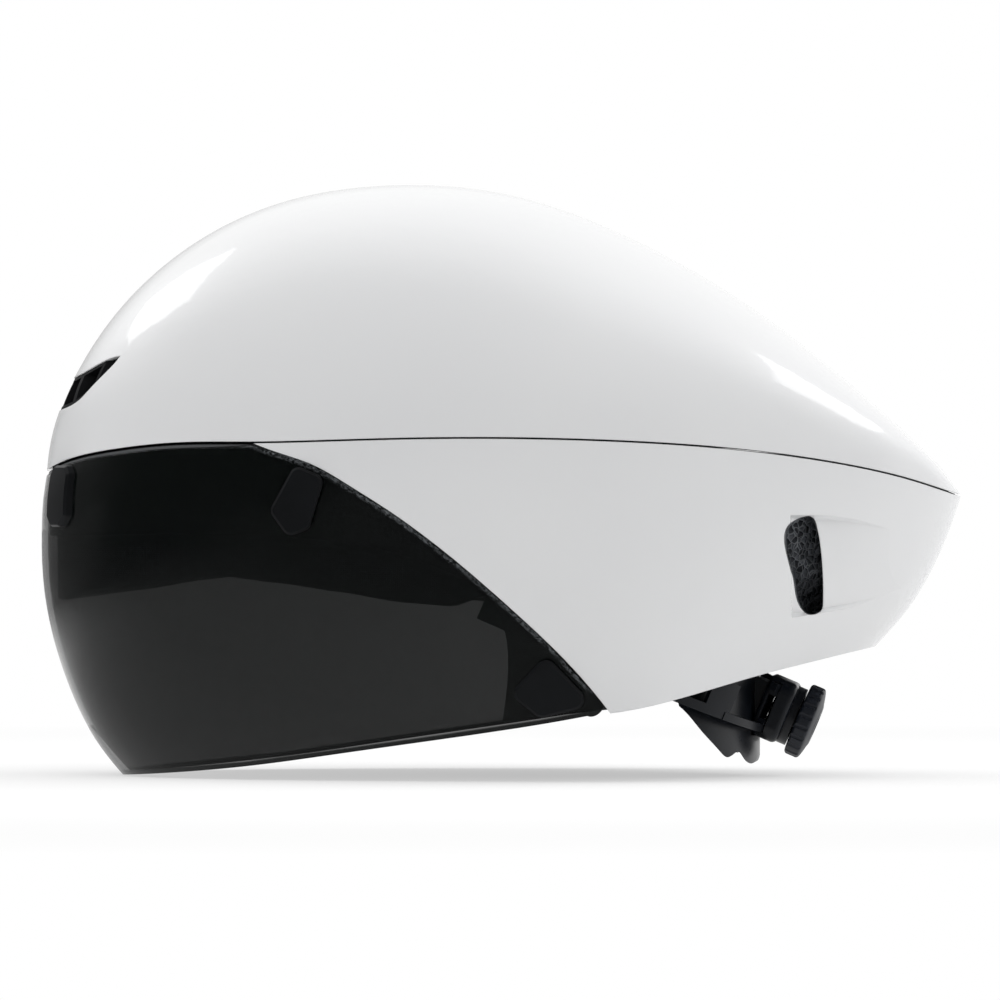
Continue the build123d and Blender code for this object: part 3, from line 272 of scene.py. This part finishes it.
BEADS = 500.0
BEAD_RANDOM = 0.95
BEAD_WARP = 0.0022
WARPS = 240.0
SEAM_PATCHES = 90.0
PATCH_SPAN = (0.42, 0.62)
BEAD_SEAM = 0.12
BEAD_HUMP = 0.3
BEAD_STRENGTH = 0.8
BEAD_DEPTH = 0.0006
# Foam behind this X lies in the open rear vents. It is painted lighter there as painted light, and the foam
# further in is painted darker as painted shade.
LIT_VENT_SPAN = (0.085, 0.092)
SHADED_FOAM_TONES = ((0.012, 0.0125, 0.014), (0.03, 0.031, 0.034))
LIT_FOAM_TONES = ((0.03, 0.033, 0.038), (0.17, 0.18, 0.2))
SHADED_LIT_SEAM_TONES = ((0.055, 0.056, 0.06), (0.42, 0.44, 0.47))
BLACK = (0.0, 0.0, 0.0)
WHITE = (1.0, 1.0, 1.0)


def bead_foam():
    s = Shader("foam_black")
    s.set(Roughness=0.6, Specular_IOR_Level=0.4)
    warp = s.noise(WARPS, detail=1.0)["Color"]
    warped = s.node("ShaderNodeMix", {0: BEAD_WARP, 4: s.coordinates(), 5: warp}, data_type="VECTOR").outputs[1]
    edges = s.cells(warped, BEADS, "DISTANCE_TO_EDGE", BEAD_RANDOM)["Distance"]
    beads = s.cells(warped, BEADS, "F1", BEAD_RANDOM)["Color"]
    tone = s.node("ShaderNodeSeparateColor", {"Color": beads}).outputs["Red"]
    seam = s.ramp(edges, [(0.0, WHITE), (BEAD_SEAM, BLACK)])
    shown = s.remap(s.noise(SEAM_PATCHES, detail=2.0)["Fac"], *PATCH_SPAN)
    # Painted light and shade: bead faces and bead seams are painted lighter in the rear vents and darker
    # further in.
    tail = s.remap(s.place()["X"], *LIT_VENT_SPAN)
    face = s.mixed(tail, s.mixed(tone, *SHADED_FOAM_TONES), s.mixed(tone, *LIT_FOAM_TONES))
    rim = s.mixed(tail, *SHADED_LIT_SEAM_TONES)
    s.set(Base_Color=s.mixed(s.math("MULTIPLY", seam, shown), face, rim))
    s.bump(s.ramp(edges, [(0.0, BLACK), (BEAD_HUMP, WHITE)]), BEAD_STRENGTH, BEAD_DEPTH)
    return s.material


GRAIN = 900.0
GRAIN_STOPS = [(0.2, (0.035, 0.037, 0.04)), (0.75, (0.006, 0.0065, 0.007))]
GRAIN_STRENGTH = 0.35
GRAIN_DEPTH = 0.0003
LIP_HIGHLIGHT_TONE = (0.105, 0.11, 0.115)
# The lip under the upper shell is painted paler, as a painted highlight, between these distances under the
# seam.
LIP_UNDER = (-0.0024, -0.0016)
LIP_OVER = (-0.0009, -0.0006)


def seat_grain():
    """Leather-grained seat behind the lens, with a painted highlight: a paler lip under the upper shell."""
    s = Shader("seat_grain")
    s.set(Roughness=0.4)
    grain = s.cells(s.coordinates(), GRAIN, "SMOOTH_F1")["Distance"]
    lip = s.math("MULTIPLY", s.above(SEAM, *LIP_UNDER, 0.0, 1.0), s.above(SEAM, *LIP_OVER, 1.0, 0.0))
    # Painted highlight: the lip under the seam is painted a paler grey.
    s.set(Base_Color=s.mixed(lip, s.ramp(grain, GRAIN_STOPS), LIP_HIGHLIGHT_TONE))
    s.bump(grain, GRAIN_STRENGTH, GRAIN_DEPTH)
    return s.material


MOULD_CLOUDS = 60.0
MOULD_SHARES = (0.85, 1.15)
MOULD_WEAR = 140.0
WEAR_ROUGH = 0.06
MOULD_GRAIN = 900.0
MOULD_DEPTH = 0.0002


def moulded(name, colour, rough, strength=0.12, specular=0.5):
    s = Shader(name)
    tones = [tuple(c * share for c in colour) for share in MOULD_SHARES]
    tone = s.ramp(s.noise(MOULD_CLOUDS, detail=3.0)["Fac"], list(zip(PATCHES, tones)))
    s.set(Specular_IOR_Level=specular, Base_Color=tone)
    wear = s.noise(MOULD_WEAR, detail=4.0)["Fac"]
    s.set(Roughness=s.remap(wear, 0, 1, rough - WEAR_ROUGH, rough + WEAR_ROUGH))
    s.bump(s.noise(MOULD_GRAIN, detail=3.0)["Fac"], strength, MOULD_DEPTH)
    return s.material


METAL_WEAR = 500.0
METAL_ROUGH = (-0.05, 0.1)


def metal(name, colour, rough):
    s = Shader(name)
    wear = s.noise(METAL_WEAR, detail=4.0)["Fac"]
    low, high = (rough + change for change in METAL_ROUGH)
    s.set(Base_Color=colour, Metallic=1.0, Roughness=s.remap(wear, 0, 1, low, high))
    return s.material


LOOPS = 1500.0
LOOP_RANDOM = 0.25
LOOP_PLACES = (0.1, 0.7)
LOOP_STRENGTH = 0.5
LOOP_DEPTH = -0.0003


def knit(name, high, low, sheen):
    s = Shader(name)
    s.set(Roughness=0.92, Sheen_Weight=sheen, Sheen_Roughness=0.5)
    loops = s.cells(s.coordinates(), LOOPS, "F1", LOOP_RANDOM)["Distance"]
    s.set(Base_Color=s.ramp(loops, list(zip(LOOP_PLACES, (high, low)))))
    s.bump(loops, LOOP_STRENGTH, LOOP_DEPTH)
    return s.material


LOOKS = {
    "shell_white": gloss_white(),
    "lens_smoke": smoke_lens(),
    "foam_black": bead_foam(),
    "seat_black": moulded("seat_black", (0.016, 0.017, 0.02), 0.42),
    "seat_grain": seat_grain(),
    "vent_black": moulded("vent_black", (0.008, 0.0085, 0.0095), 0.6, specular=0.15),
    "cap_black": moulded("cap_black", (0.0065, 0.0075, 0.009), 0.45, strength=0.05, specular=0.22),
    "nylon_black": moulded("nylon_black", (0.0065, 0.0085, 0.0125), 0.3, strength=0.08, specular=0.4),
    "dial_rubber": moulded("dial_rubber", (0.012, 0.0155, 0.024), 0.42, strength=0.15, specular=0.45),
    "steel": metal("steel", (0.56, 0.56, 0.57), 0.32),
    "magnet": metal("magnet", (0.66, 0.66, 0.67), 0.2),
    "pad_fabric": knit("pad_fabric", (0.04, 0.041, 0.044), (0.012, 0.012, 0.013), 0.35),
    "lining": knit("lining", (0.003, 0.0032, 0.0035), (0.001, 0.001, 0.0012), 0.0),
    "thread": moulded("thread", (0.05, 0.05, 0.055), 0.6, strength=0.3),
}
OWN_LOOKS = {"visor_frame": "seat_grain", "vent_insert": "vent_black"}
slots = {row["node"]: row["material_slot"] for row in frame["record"]["subparts"]}
for name, obj in nodes.items():
    obj.data.materials.clear()
    obj.data.materials.append(LOOKS[OWN_LOOKS.get(name, slots[name])])


# Floor and world. The backdrop is white to the camera and through glass. The room ahead is dim in reflections.
FLOOR = 40.0
FLOOR_DROP = 0.0002
# Levels on the floor, by distance from its middle or by place along Y or X, in metres.
FLOOR_COLOUR = ((0.0, 0.92), (0.4, 0.9), (1.0, 0.35), (2.0, 0.25))
FLOOR_GLOW = ((0.0, 0.5), (0.3, 0.6), (0.75, 1.0))
FLOOR_MIRROR = ((-0.3, 0.10), (-0.12, 0.25), (0.1, 0.9), (0.3, 1.0))
MIRROR_SPAN = (-0.5, 0.5)
# Light by height: -1 is straight down, 0 the horizon, 1 straight up.
# Light by side: 0 is square on, 1 along the object.
SKY = ((-1.0, 0.3), (0.0, 0.07), (0.24, 0.18), (0.6, 0.85), (1.0, 1.35))
ENDS = ((0.0, 0.0), (0.4, 0.06), (0.75, 0.5), (1.0, 1.05))
ROOM = ((-1.0, 0.10), (-0.16, 0.14), (0.2, 0.75), (0.5, 1.0))
# The nose side of the room and of the floor is dim in reflections, from the horizon down.
NOSE_SIDE = ((-1.0, 0.16), (-0.6, 0.18), (-0.2, 0.6), (0.0, 1.0))
NOSE_HEIGHT = ((0.1, 1.0), (0.4, 0.0))
FLOOR_NOSE = ((-0.9, 0.16), (-0.5, 0.22), (-0.3, 1.0))


def rays(tree):
    """Share of rays that see the backdrop itself, and share that mirror it."""
    path = tree.node("ShaderNodeLightPath").outputs
    return tree.math("MAXIMUM", path["Is Camera Ray"], path["Is Transmission Ray"]), path["Is Glossy Ray"]


def floor_material():
    s = Shader("floor")
    seen, glossy = rays(s)
    place = s.place()
    squares = [s.math("MULTIPLY", place[axis], place[axis]) for axis in ("X", "Y")]
    reach = s.math("SQRT", s.math("ADD", *squares))
    s.set(Roughness=0.9, Specular_IOR_Level=0.0, Base_Color=s.levels(reach, 0, 2, FLOOR_COLOUR))
    mirror = s.levels(place["Y"], *MIRROR_SPAN, FLOOR_MIRROR)
    level = s.vector("MULTIPLY", mirror, s.levels(place["X"], -1, 1, FLOOR_NOSE))
    glow = s.node("ShaderNodeEmission", {"Color": s.mixed(glossy, WHITE, level)})
    share = s.math("MAXIMUM", s.math("MULTIPLY", seen, s.levels(reach, 0, 1, FLOOR_GLOW)), glossy)
    values = {"Fac": share, 1: s.surface.outputs["BSDF"], 2: glow.outputs["Emission"]}
    mix = s.node("ShaderNodeMixShader", values)
    s.feed(s.output.inputs["Surface"], mix.outputs["Shader"])
    return s.material


def make_floor():
    corners = [(-FLOOR, -FLOOR, 0), (FLOOR, -FLOOR, 0), (FLOOR, FLOOR, 0), (-FLOOR, FLOOR, 0)]
    mesh = bpy.data.meshes.new("floor")
    mesh.from_pydata(corners, [], [(0, 1, 2, 3)])
    mesh.materials.append(floor_material())
    floor = link(bpy.data.objects.new("floor", mesh))
    floor.location.z = cad_box[0].z - FLOOR_DROP


def make_world():
    world = bpy.data.worlds.new("studio")
    scene.world = world
    world.use_nodes = True
    room = Tree(world.node_tree)
    seen, glossy = rays(room)
    way = room.place("Generated")
    sky = room.levels(way["Z"], -1, 1, SKY)
    ends = room.levels(room.math("ABSOLUTE", way["X"]), 0, 1, ENDS)
    light = room.vector("ADD", sky, ends)
    around = room.levels(way["Y"], -1, 1, ROOM)
    dimmed = room.vector("MULTIPLY", around, room.levels(way["X"], -1, 1, NOSE_SIDE))
    mirrored = room.mixed(room.levels(way["Z"], -1, 1, NOSE_HEIGHT), around, dimmed)
    lit = room.mixed(glossy, light, mirrored)
    background = world.node_tree.nodes["Background"]
    room.feed(background.inputs["Color"], room.mixed(seen, lit, WHITE))


make_floor()
make_world()

LAMP_AIM = Vector((0, 0, 0.1))
LAMP_LONG = 1.0
LAMP_WIDE = 0.7
LAMP_POWER = 4.5
LAMPS = {"front": (-1.55, 1.05, 1.6), "rear": (1.6, 1.0, 1.55)}


def lamp(name, at):
    data = bpy.data.lights.new(name, "AREA")
    data.shape = "RECTANGLE"
    data.size = LAMP_LONG
    data.size_y = LAMP_WIDE
    data.energy = LAMP_POWER
    obj = link(bpy.data.objects.new(name, data))
    obj.location = at
    obj.rotation_mode = "QUATERNION"
    obj.rotation_quaternion = (LAMP_AIM - Vector(at)).to_track_quat("-Z", "Y")


for name, at in LAMPS.items():
    lamp(name, at)


# Comfort pads: each is a closed pad on its CAD solid's wall, with a pressed rim and a full middle.
RAY_STEP = 0.0003
PAD_SCAN = 160
PAD_HITS = 4
PAD_WIDTH_SHARE = 0.97
PAD_END_POWER = 7
PAD_CORNER_POWER = 1 / 3
PAD_RIM = 0.0022
PAD_RISE = 0.0045
# Shares of the solid's thickness at the pressed rim and in the full middle.
PAD_RIM_SHARE = 0.30
PAD_FULL_SHARE = 0.92
PAD_CLEAR = 0.0002
PAD_SWELL = 0.0009
AIR_STEPS = 14


def surface_of(name):
    mesh = nodes[name].data
    return BVHTree.FromPolygons([v.co for v in mesh.vertices], [p.vertices for p in mesh.polygons])


def through(tree, start, way):
    """Nearest and farthest crossing of a ray with a solid, or None."""
    first = tree.ray_cast(start, way)[0]
    if first is None:
        return None
    second = tree.ray_cast(first + way * RAY_STEP, way)[0]
    return (first, second) if second is not None else None


def crown(distance):
    """Share of the full height at a distance from the pad's outline."""
    if distance < PAD_RIM:
        return 0.0
    u = min((distance - PAD_RIM) / PAD_RISE, 1)
    return math.sqrt(1 - (1 - u) ** 2)


def pad_grid(name, ray, span, reach, columns, rows):
    """Rows of near and far points of the solid, over the pad's rounded outline."""
    tree = surface_of(name)
    steps = [reach[0] + (reach[1] - reach[0]) * k / PAD_SCAN for k in range(PAD_SCAN + 1)]
    grid = []
    for i in range(columns):
        part = 2 * (i + 0.5) / columns - 1
        s = span[0] + (span[1] - span[0]) * (part + 1) / 2
        hits = [t for t in steps if through(tree, *ray(s, t))]
        if len(hits) < PAD_HITS:
            continue
        low, high = hits[0], hits[-1]
        middle = (low + high) / 2
        half = (high - low) / 2 * PAD_WIDTH_SHARE * (1 - abs(part) ** PAD_END_POWER) ** PAD_CORNER_POWER
        row = [through(tree, *ray(s, middle + half * (2 * j / (rows - 1) - 1))) for j in range(rows)]
        if all(row):
            grid.append(row)
    return grid


def ring_places(first, last, low, high):
    """Places (row, column) once round a grid, between the rows first..last and the columns low..high."""
    ring = [(i, low) for i in range(first, last)] + [(last, j) for j in range(low, high)]
    return ring + [(i, high) for i in range(last, first, -1)] + [(first, j) for j in range(high, low, -1)]


def pad_object(name, grid, rims):
    """Closed pad whose back lies on the solid's far wall, with vertices in back and front pairs."""
    count, rows = len(grid), len(grid[0])
    mesh = bmesh.new()
    back, front = [], []
    for row, gaps in zip(grid, rims):
        back_row, front_row = [], []
        for (near, far), gap in zip(row, gaps):
            share = PAD_RIM_SHARE + (PAD_FULL_SHARE - PAD_RIM_SHARE) * crown(gap)
            wall = far + (near - far).normalized() * PAD_CLEAR
            back_row.append(mesh.verts.new(wall))
            front_row.append(mesh.verts.new(wall + (near - wall) * share))
        back.append(back_row)
        front.append(front_row)
    for i in range(count - 1):
        for j in range(rows - 1):
            mesh.faces.new((back[i][j], back[i][j + 1], back[i + 1][j + 1], back[i + 1][j]))
            mesh.faces.new((front[i][j], front[i + 1][j], front[i + 1][j + 1], front[i][j + 1]))
    ring = ring_places(0, count - 1, 0, rows - 1)
    for (a, b), (c, d) in zip(ring, ring[1:] + ring[:1]):
        mesh.faces.new((back[a][b], back[c][d], front[c][d], front[a][b]))
    pad = finished(mesh, name + "_soft", "pad_fabric")
    held = pad.vertex_groups.new(name="held")
    for i in range(count):
        for j in range(rows):
            index = 2 * (rows * i + j)
            held.add([index], 1.0, "REPLACE")
            held.add([index + 1], 1.0 if rims[i][j] < PAD_RIM else 0.0, "REPLACE")
    return pad


def finished(mesh, name, look):
    """Object from a bmesh, with its faces turned outwards."""
    bmesh.ops.recalc_face_normals(mesh, faces=mesh.faces)
    data = bpy.data.meshes.new(name)
    mesh.to_mesh(data)
    mesh.free()
    data.materials.append(LOOKS[look])
    return link(bpy.data.objects.new(name, data))


def smooth(obj):
    for face in obj.data.polygons:
        face.use_smooth = True


def soft_pad(name, body, ray, span, reach, columns, rows, fill=0.6):
    """ray(s, t) gives a start and a way; s runs over span, and t is searched over reach for the solid."""
    grid = pad_grid(name, ray, span, reach, columns, rows)
    edge = ring_places(0, len(grid) - 1, 0, rows - 1)
    outline = [grid[i][j][1] for i, j in edge]
    rims = [[min((far - p).length for p in outline) for near, far in row] for row in grid]
    pad = pad_object(name, grid, rims)
    swell(pad)
    shape = pad.modifiers.new("round", "SUBSURF")
    shape.levels = shape.render_levels = 1
    with bpy.context.temp_override(object=pad, active_object=pad, selected_objects=[pad]):
        bpy.ops.object.modifier_apply(modifier="round")
    smooth(pad)
    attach(pad, body)
    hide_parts(name)
    stitch(pad, name, body, grid)


def swell(pad):
    """Air pressure rounds the front of the pad while its back and rim stay put."""
    start = [v.co.copy() for v in pad.data.vertices]
    cloth = pad.modifiers.new("air", "CLOTH")
    cloth.settings.quality = 6
    cloth.settings.mass = 0.2
    cloth.settings.use_pressure = True
    cloth.settings.uniform_pressure_force = 4
    cloth.settings.tension_stiffness = 12
    cloth.settings.compression_stiffness = 12
    cloth.settings.bending_stiffness = 0.4
    cloth.settings.effector_weights.gravity = 0
    cloth.settings.vertex_group_mass = "held"
    cloth.point_cache.frame_start = 1
    cloth.point_cache.frame_end = AIR_STEPS
    for step in range(1, AIR_STEPS + 1):
        scene.frame_set(step)
    graph = bpy.context.evaluated_depsgraph_get()
    moved = [v.co.copy() for v in pad.evaluated_get(graph).data.vertices]
    pad.modifiers.remove(cloth)
    scene.frame_set(1)
    for vertex, first, last in zip(pad.data.vertices, start, moved):
        change = last - first
        if change.length > PAD_SWELL:
            change *= PAD_SWELL / change.length
        vertex.co = first + change


STITCH = 0.0017
STITCH_STEP = 0.0027
STITCH_WIDE = 0.00022
STITCH_LIFT_SHARE = 0.4
STITCH_SIDES = 6
# Shares of the stitch's length and of its width, from one end to the other.
STITCH_SHARES = ((-0.5, 0.4), (-0.35, 1), (0.35, 1), (0.5, 0.4))
# The stitches are found from this share of the pad's thickness in front of it.
STITCH_START_SHARE = 0.8
TINY = 1e-6


def stitch(pad, name, body, grid):
    """Short thread bars along the pressed rim."""
    tree = BVHTree.FromObject(pad, bpy.context.evaluated_depsgraph_get())
    ends, sides = (1, len(grid) - 2), (1, len(grid[0]) - 2)
    line = []
    for i, j in ring_places(*ends, *sides):
        # The seam cuts each corner.
        if i in ends and j in sides:
            continue
        near, far = grid[i][j]
        hit, normal = tree.ray_cast(near + (near - far) * STITCH_START_SHARE, (far - near).normalized())[:2]
        if hit is not None:
            line.append((hit, normal))
    made = bmesh.new()
    due = 0.0
    for (a, normal), (b, _) in zip(line, line[1:] + line[:1]):
        length = (b - a).length
        if length < TINY:
            continue
        along = (b - a) / length
        across = along.cross(normal).normalized()
        while due < length:
            thread_bar(made, a + along * due + normal * STITCH_WIDE * STITCH_LIFT_SHARE, along, across, normal)
            due += STITCH_STEP
        due -= length
    thread = finished(made, name + "_stitches", "thread")
    smooth(thread)
    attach(thread, body)


def thread_bar(made, middle, along, across, normal):
    rings = []
    for shift, scale in STITCH_SHARES:
        place = middle + along * shift * STITCH
        ring = []
        for k in range(STITCH_SIDES):
            turn = k * 2 * math.pi / STITCH_SIDES
            way = across * math.cos(turn) + normal * math.sin(turn)
            ring.append(made.verts.new(place + way * STITCH_WIDE * scale))
        rings.append(ring)
    tube(made, rings)


def tube(mesh, rings):
    """Faces between rings of vertices, closed at both ends."""
    size = len(rings[0])
    for one, two in zip(rings, rings[1:]):
        for k in range(size):
            mesh.faces.new((one[k], one[(k + 1) % size], two[(k + 1) % size], two[k]))
    mesh.faces.new(rings[0][::-1])
    mesh.faces.new(rings[-1])


# Each ray starts inside the head room, or on the racks' axis, and runs out through the pad.
HEAD_X = -0.029
HEAD_Z = 0.075
NAPE_X = 0.0275
TILT = math.radians(23)
ARC_CENTRE = Vector((0.02721608, 0, 0.05259361))
ARC_OUT = Vector((math.cos(TILT), 0, -math.sin(TILT)))
ARC_UP = Vector((math.sin(TILT), 0, math.cos(TILT)))


def level_ray(centre_x):
    def ray(angle, z):
        turn = math.radians(angle)
        return Vector((centre_x, 0, z)), Vector((math.cos(turn), math.sin(turn), 0))
    return ray


def crown_ray(angle, y):
    turn = math.radians(angle)
    return Vector((HEAD_X, y, HEAD_Z)), Vector((math.cos(turn), 0, math.sin(turn)))


def arc_ray(angle, rise):
    turn = math.radians(angle)
    return ARC_CENTRE + ARC_UP * rise, ARC_OUT * math.cos(turn) + Vector((0, math.sin(turn), 0))


# Where each pad's solid is searched for: angles in degrees, then heights or places across in metres.
# The last two numbers are how many rows of points the pad has, and how many points a row has.
BROW = (129, 231), (0.080, 0.120), 64, 16
REAR = (-21, 21), (0.086, 0.116), 36, 14
SIDE = (70, 118), (0.086, 0.120), 34, 14
CROWN = (56, 133), (0.009, 0.027), 54, 12
NAPE = (11, 47), (0.006, 0.036), 26, 14
TEMPLE = (86.2, 109.8), (-0.011, 0.011), 26, 12


def mirrored(sign, span):
    return tuple(sign * value for value in span)


soft_pad("brow_pad", "helmet", level_ray(HEAD_X), *BROW)
for side, sign in (("left", -1), ("right", 1)):
    soft_pad(f"side_pad_{side}", "helmet", level_ray(HEAD_X), mirrored(sign, SIDE[0]), *SIDE[1:])
    soft_pad(f"crown_pad_{side}", "helmet", crown_ray, CROWN[0], mirrored(sign, CROWN[1]), *CROWN[2:])
    soft_pad(f"nape_pad_{side}", "cradle", level_ray(NAPE_X), mirrored(sign, NAPE[0]), *NAPE[1:])
    soft_pad(f"temple_pad_{side}", f"rack_{side}", arc_ray, mirrored(sign, TEMPLE[0]), *TEMPLE[1:])
soft_pad("rear_pad", "helmet", level_ray(HEAD_X), *REAR)


# Soft lip that hangs from the liner's inner edge behind the lens. Its upper and lower lines are (x, z).
SKIRT_TOP = [(-0.130, 0.0844), (-0.110, 0.0843), (-0.055, 0.0825), (-0.040, 0.0801), (-0.025, 0.077),
             (-0.008, 0.0705), (0.0, 0.0661)]
SKIRT_LOW = [(-0.156, 0.0605), (-0.130, 0.0640), (-0.110, 0.0675), (-0.091, 0.0700), (-0.070, 0.0675),
             (-0.049, 0.0645), (-0.028, 0.0610), (-0.010, 0.0595), (0.0, 0.0630)]
SKIRT_CURVE_SHARE = 0.35
SKIRT_THICK = 0.0035
SKIRT_STATIONS = 110
SKIRT_START = math.radians(68.8)
SKIRT_ROWS = 7
SKIRT_BENDS = 6
SKIRT_TURN = 0.01
# Half lengths of the head wall, and the clearance that the lip keeps from it.
HEAD_LONG = 0.099
HEAD_WIDE = 0.078
SKIRT_CLEAR = 0.0003
# Towards the nose the lip leaves the head wall, and closes up to this far behind the outside of the lens.
SKIRT_BEHIND = 0.0090
AHEAD_FROM = 0.3
AHEAD_OVER = 0.55
# Outline of the lens at the lip's height: where it is widest, half lengths from there, and the curve's power.
LENS_WIDEST = 0.031
LENS_LONG = 0.1918
LENS_WIDE = 0.0997
LENS_POWER = 2.5
LENS_SEARCH = (0.05, 0.2)
LENS_HALVINGS = 30


def eased(u):
    u = min(max(u, 0), 1)
    return u * u * (3 - 2 * u)


def lens_reach(turn):
    """Distance from the head's centre to the outside of the lens."""
    low, high = LENS_SEARCH
    for _ in range(LENS_HALVINGS):
        r = (low + high) / 2
        u = (LENS_WIDEST - HEAD_X - r * math.cos(turn)) / LENS_LONG
        if u < 1 and abs(r * math.sin(turn)) < LENS_WIDE * math.sqrt(1 - max(u, 0) ** LENS_POWER):
            low = r
        else:
            high = r
    return low


def skirt_point(turn):
    head = 1 / math.hypot(math.cos(turn) / HEAD_LONG, math.sin(turn) / HEAD_WIDE)
    reach = head - SKIRT_CLEAR
    ahead = eased((-math.cos(turn) - AHEAD_FROM) / AHEAD_OVER)
    if ahead > 0:
        reach += ahead * (lens_reach(turn) - SKIRT_BEHIND - reach)
    return Vector((HEAD_X + reach * math.cos(turn), reach * math.sin(turn), 0))


def along_line(line, x):
    """Height of a line of (x, z) points at x, with each stretch partly eased."""
    for (a, low), (b, high) in zip(line, line[1:]):
        if x <= b:
            u = min(max((x - a) / (b - a), 0), 1)
            u = eased(u) * SKIRT_CURVE_SHARE + u * (1 - SKIRT_CURVE_SHARE)
            return low + (high - low) * u
    return line[-1][1]


def skirt_section(wall, out, top, low):
    """Points once round the lip's section: down its outer face, round its hem and up its inner face."""
    foot = low + SKIRT_THICK / 2
    heights = [top + (foot - top) * k / (SKIRT_ROWS - 1) for k in range(SKIRT_ROWS)]
    points = [wall + out * SKIRT_THICK + Vector((0, 0, z)) for z in heights]
    for k in range(1, SKIRT_BENDS):
        bend = math.pi * k / SKIRT_BENDS
        aside = out * SKIRT_THICK * (1 + math.cos(bend)) / 2
        points.append(wall + aside + Vector((0, 0, foot - SKIRT_THICK / 2 * math.sin(bend))))
    return points + [wall + Vector((0, 0, z)) for z in reversed(heights)]


def skirt():
    mesh = bmesh.new()
    rings = []
    for i in range(SKIRT_STATIONS + 1):
        turn = SKIRT_START + 2 * (math.pi - SKIRT_START) * i / SKIRT_STATIONS
        wall = skirt_point(turn)
        along = skirt_point(turn + SKIRT_TURN) - skirt_point(turn - SKIRT_TURN)
        out = Vector((along.y, -along.x, 0)).normalized()
        section = skirt_section(wall, out, along_line(SKIRT_TOP, wall.x), along_line(SKIRT_LOW, wall.x))
        rings.append([mesh.verts.new(point) for point in section])
    tube(mesh, rings)
    piece = finished(mesh, "liner_skirt", "lining")
    smooth(piece)
    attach(piece, "helmet")


skirt()
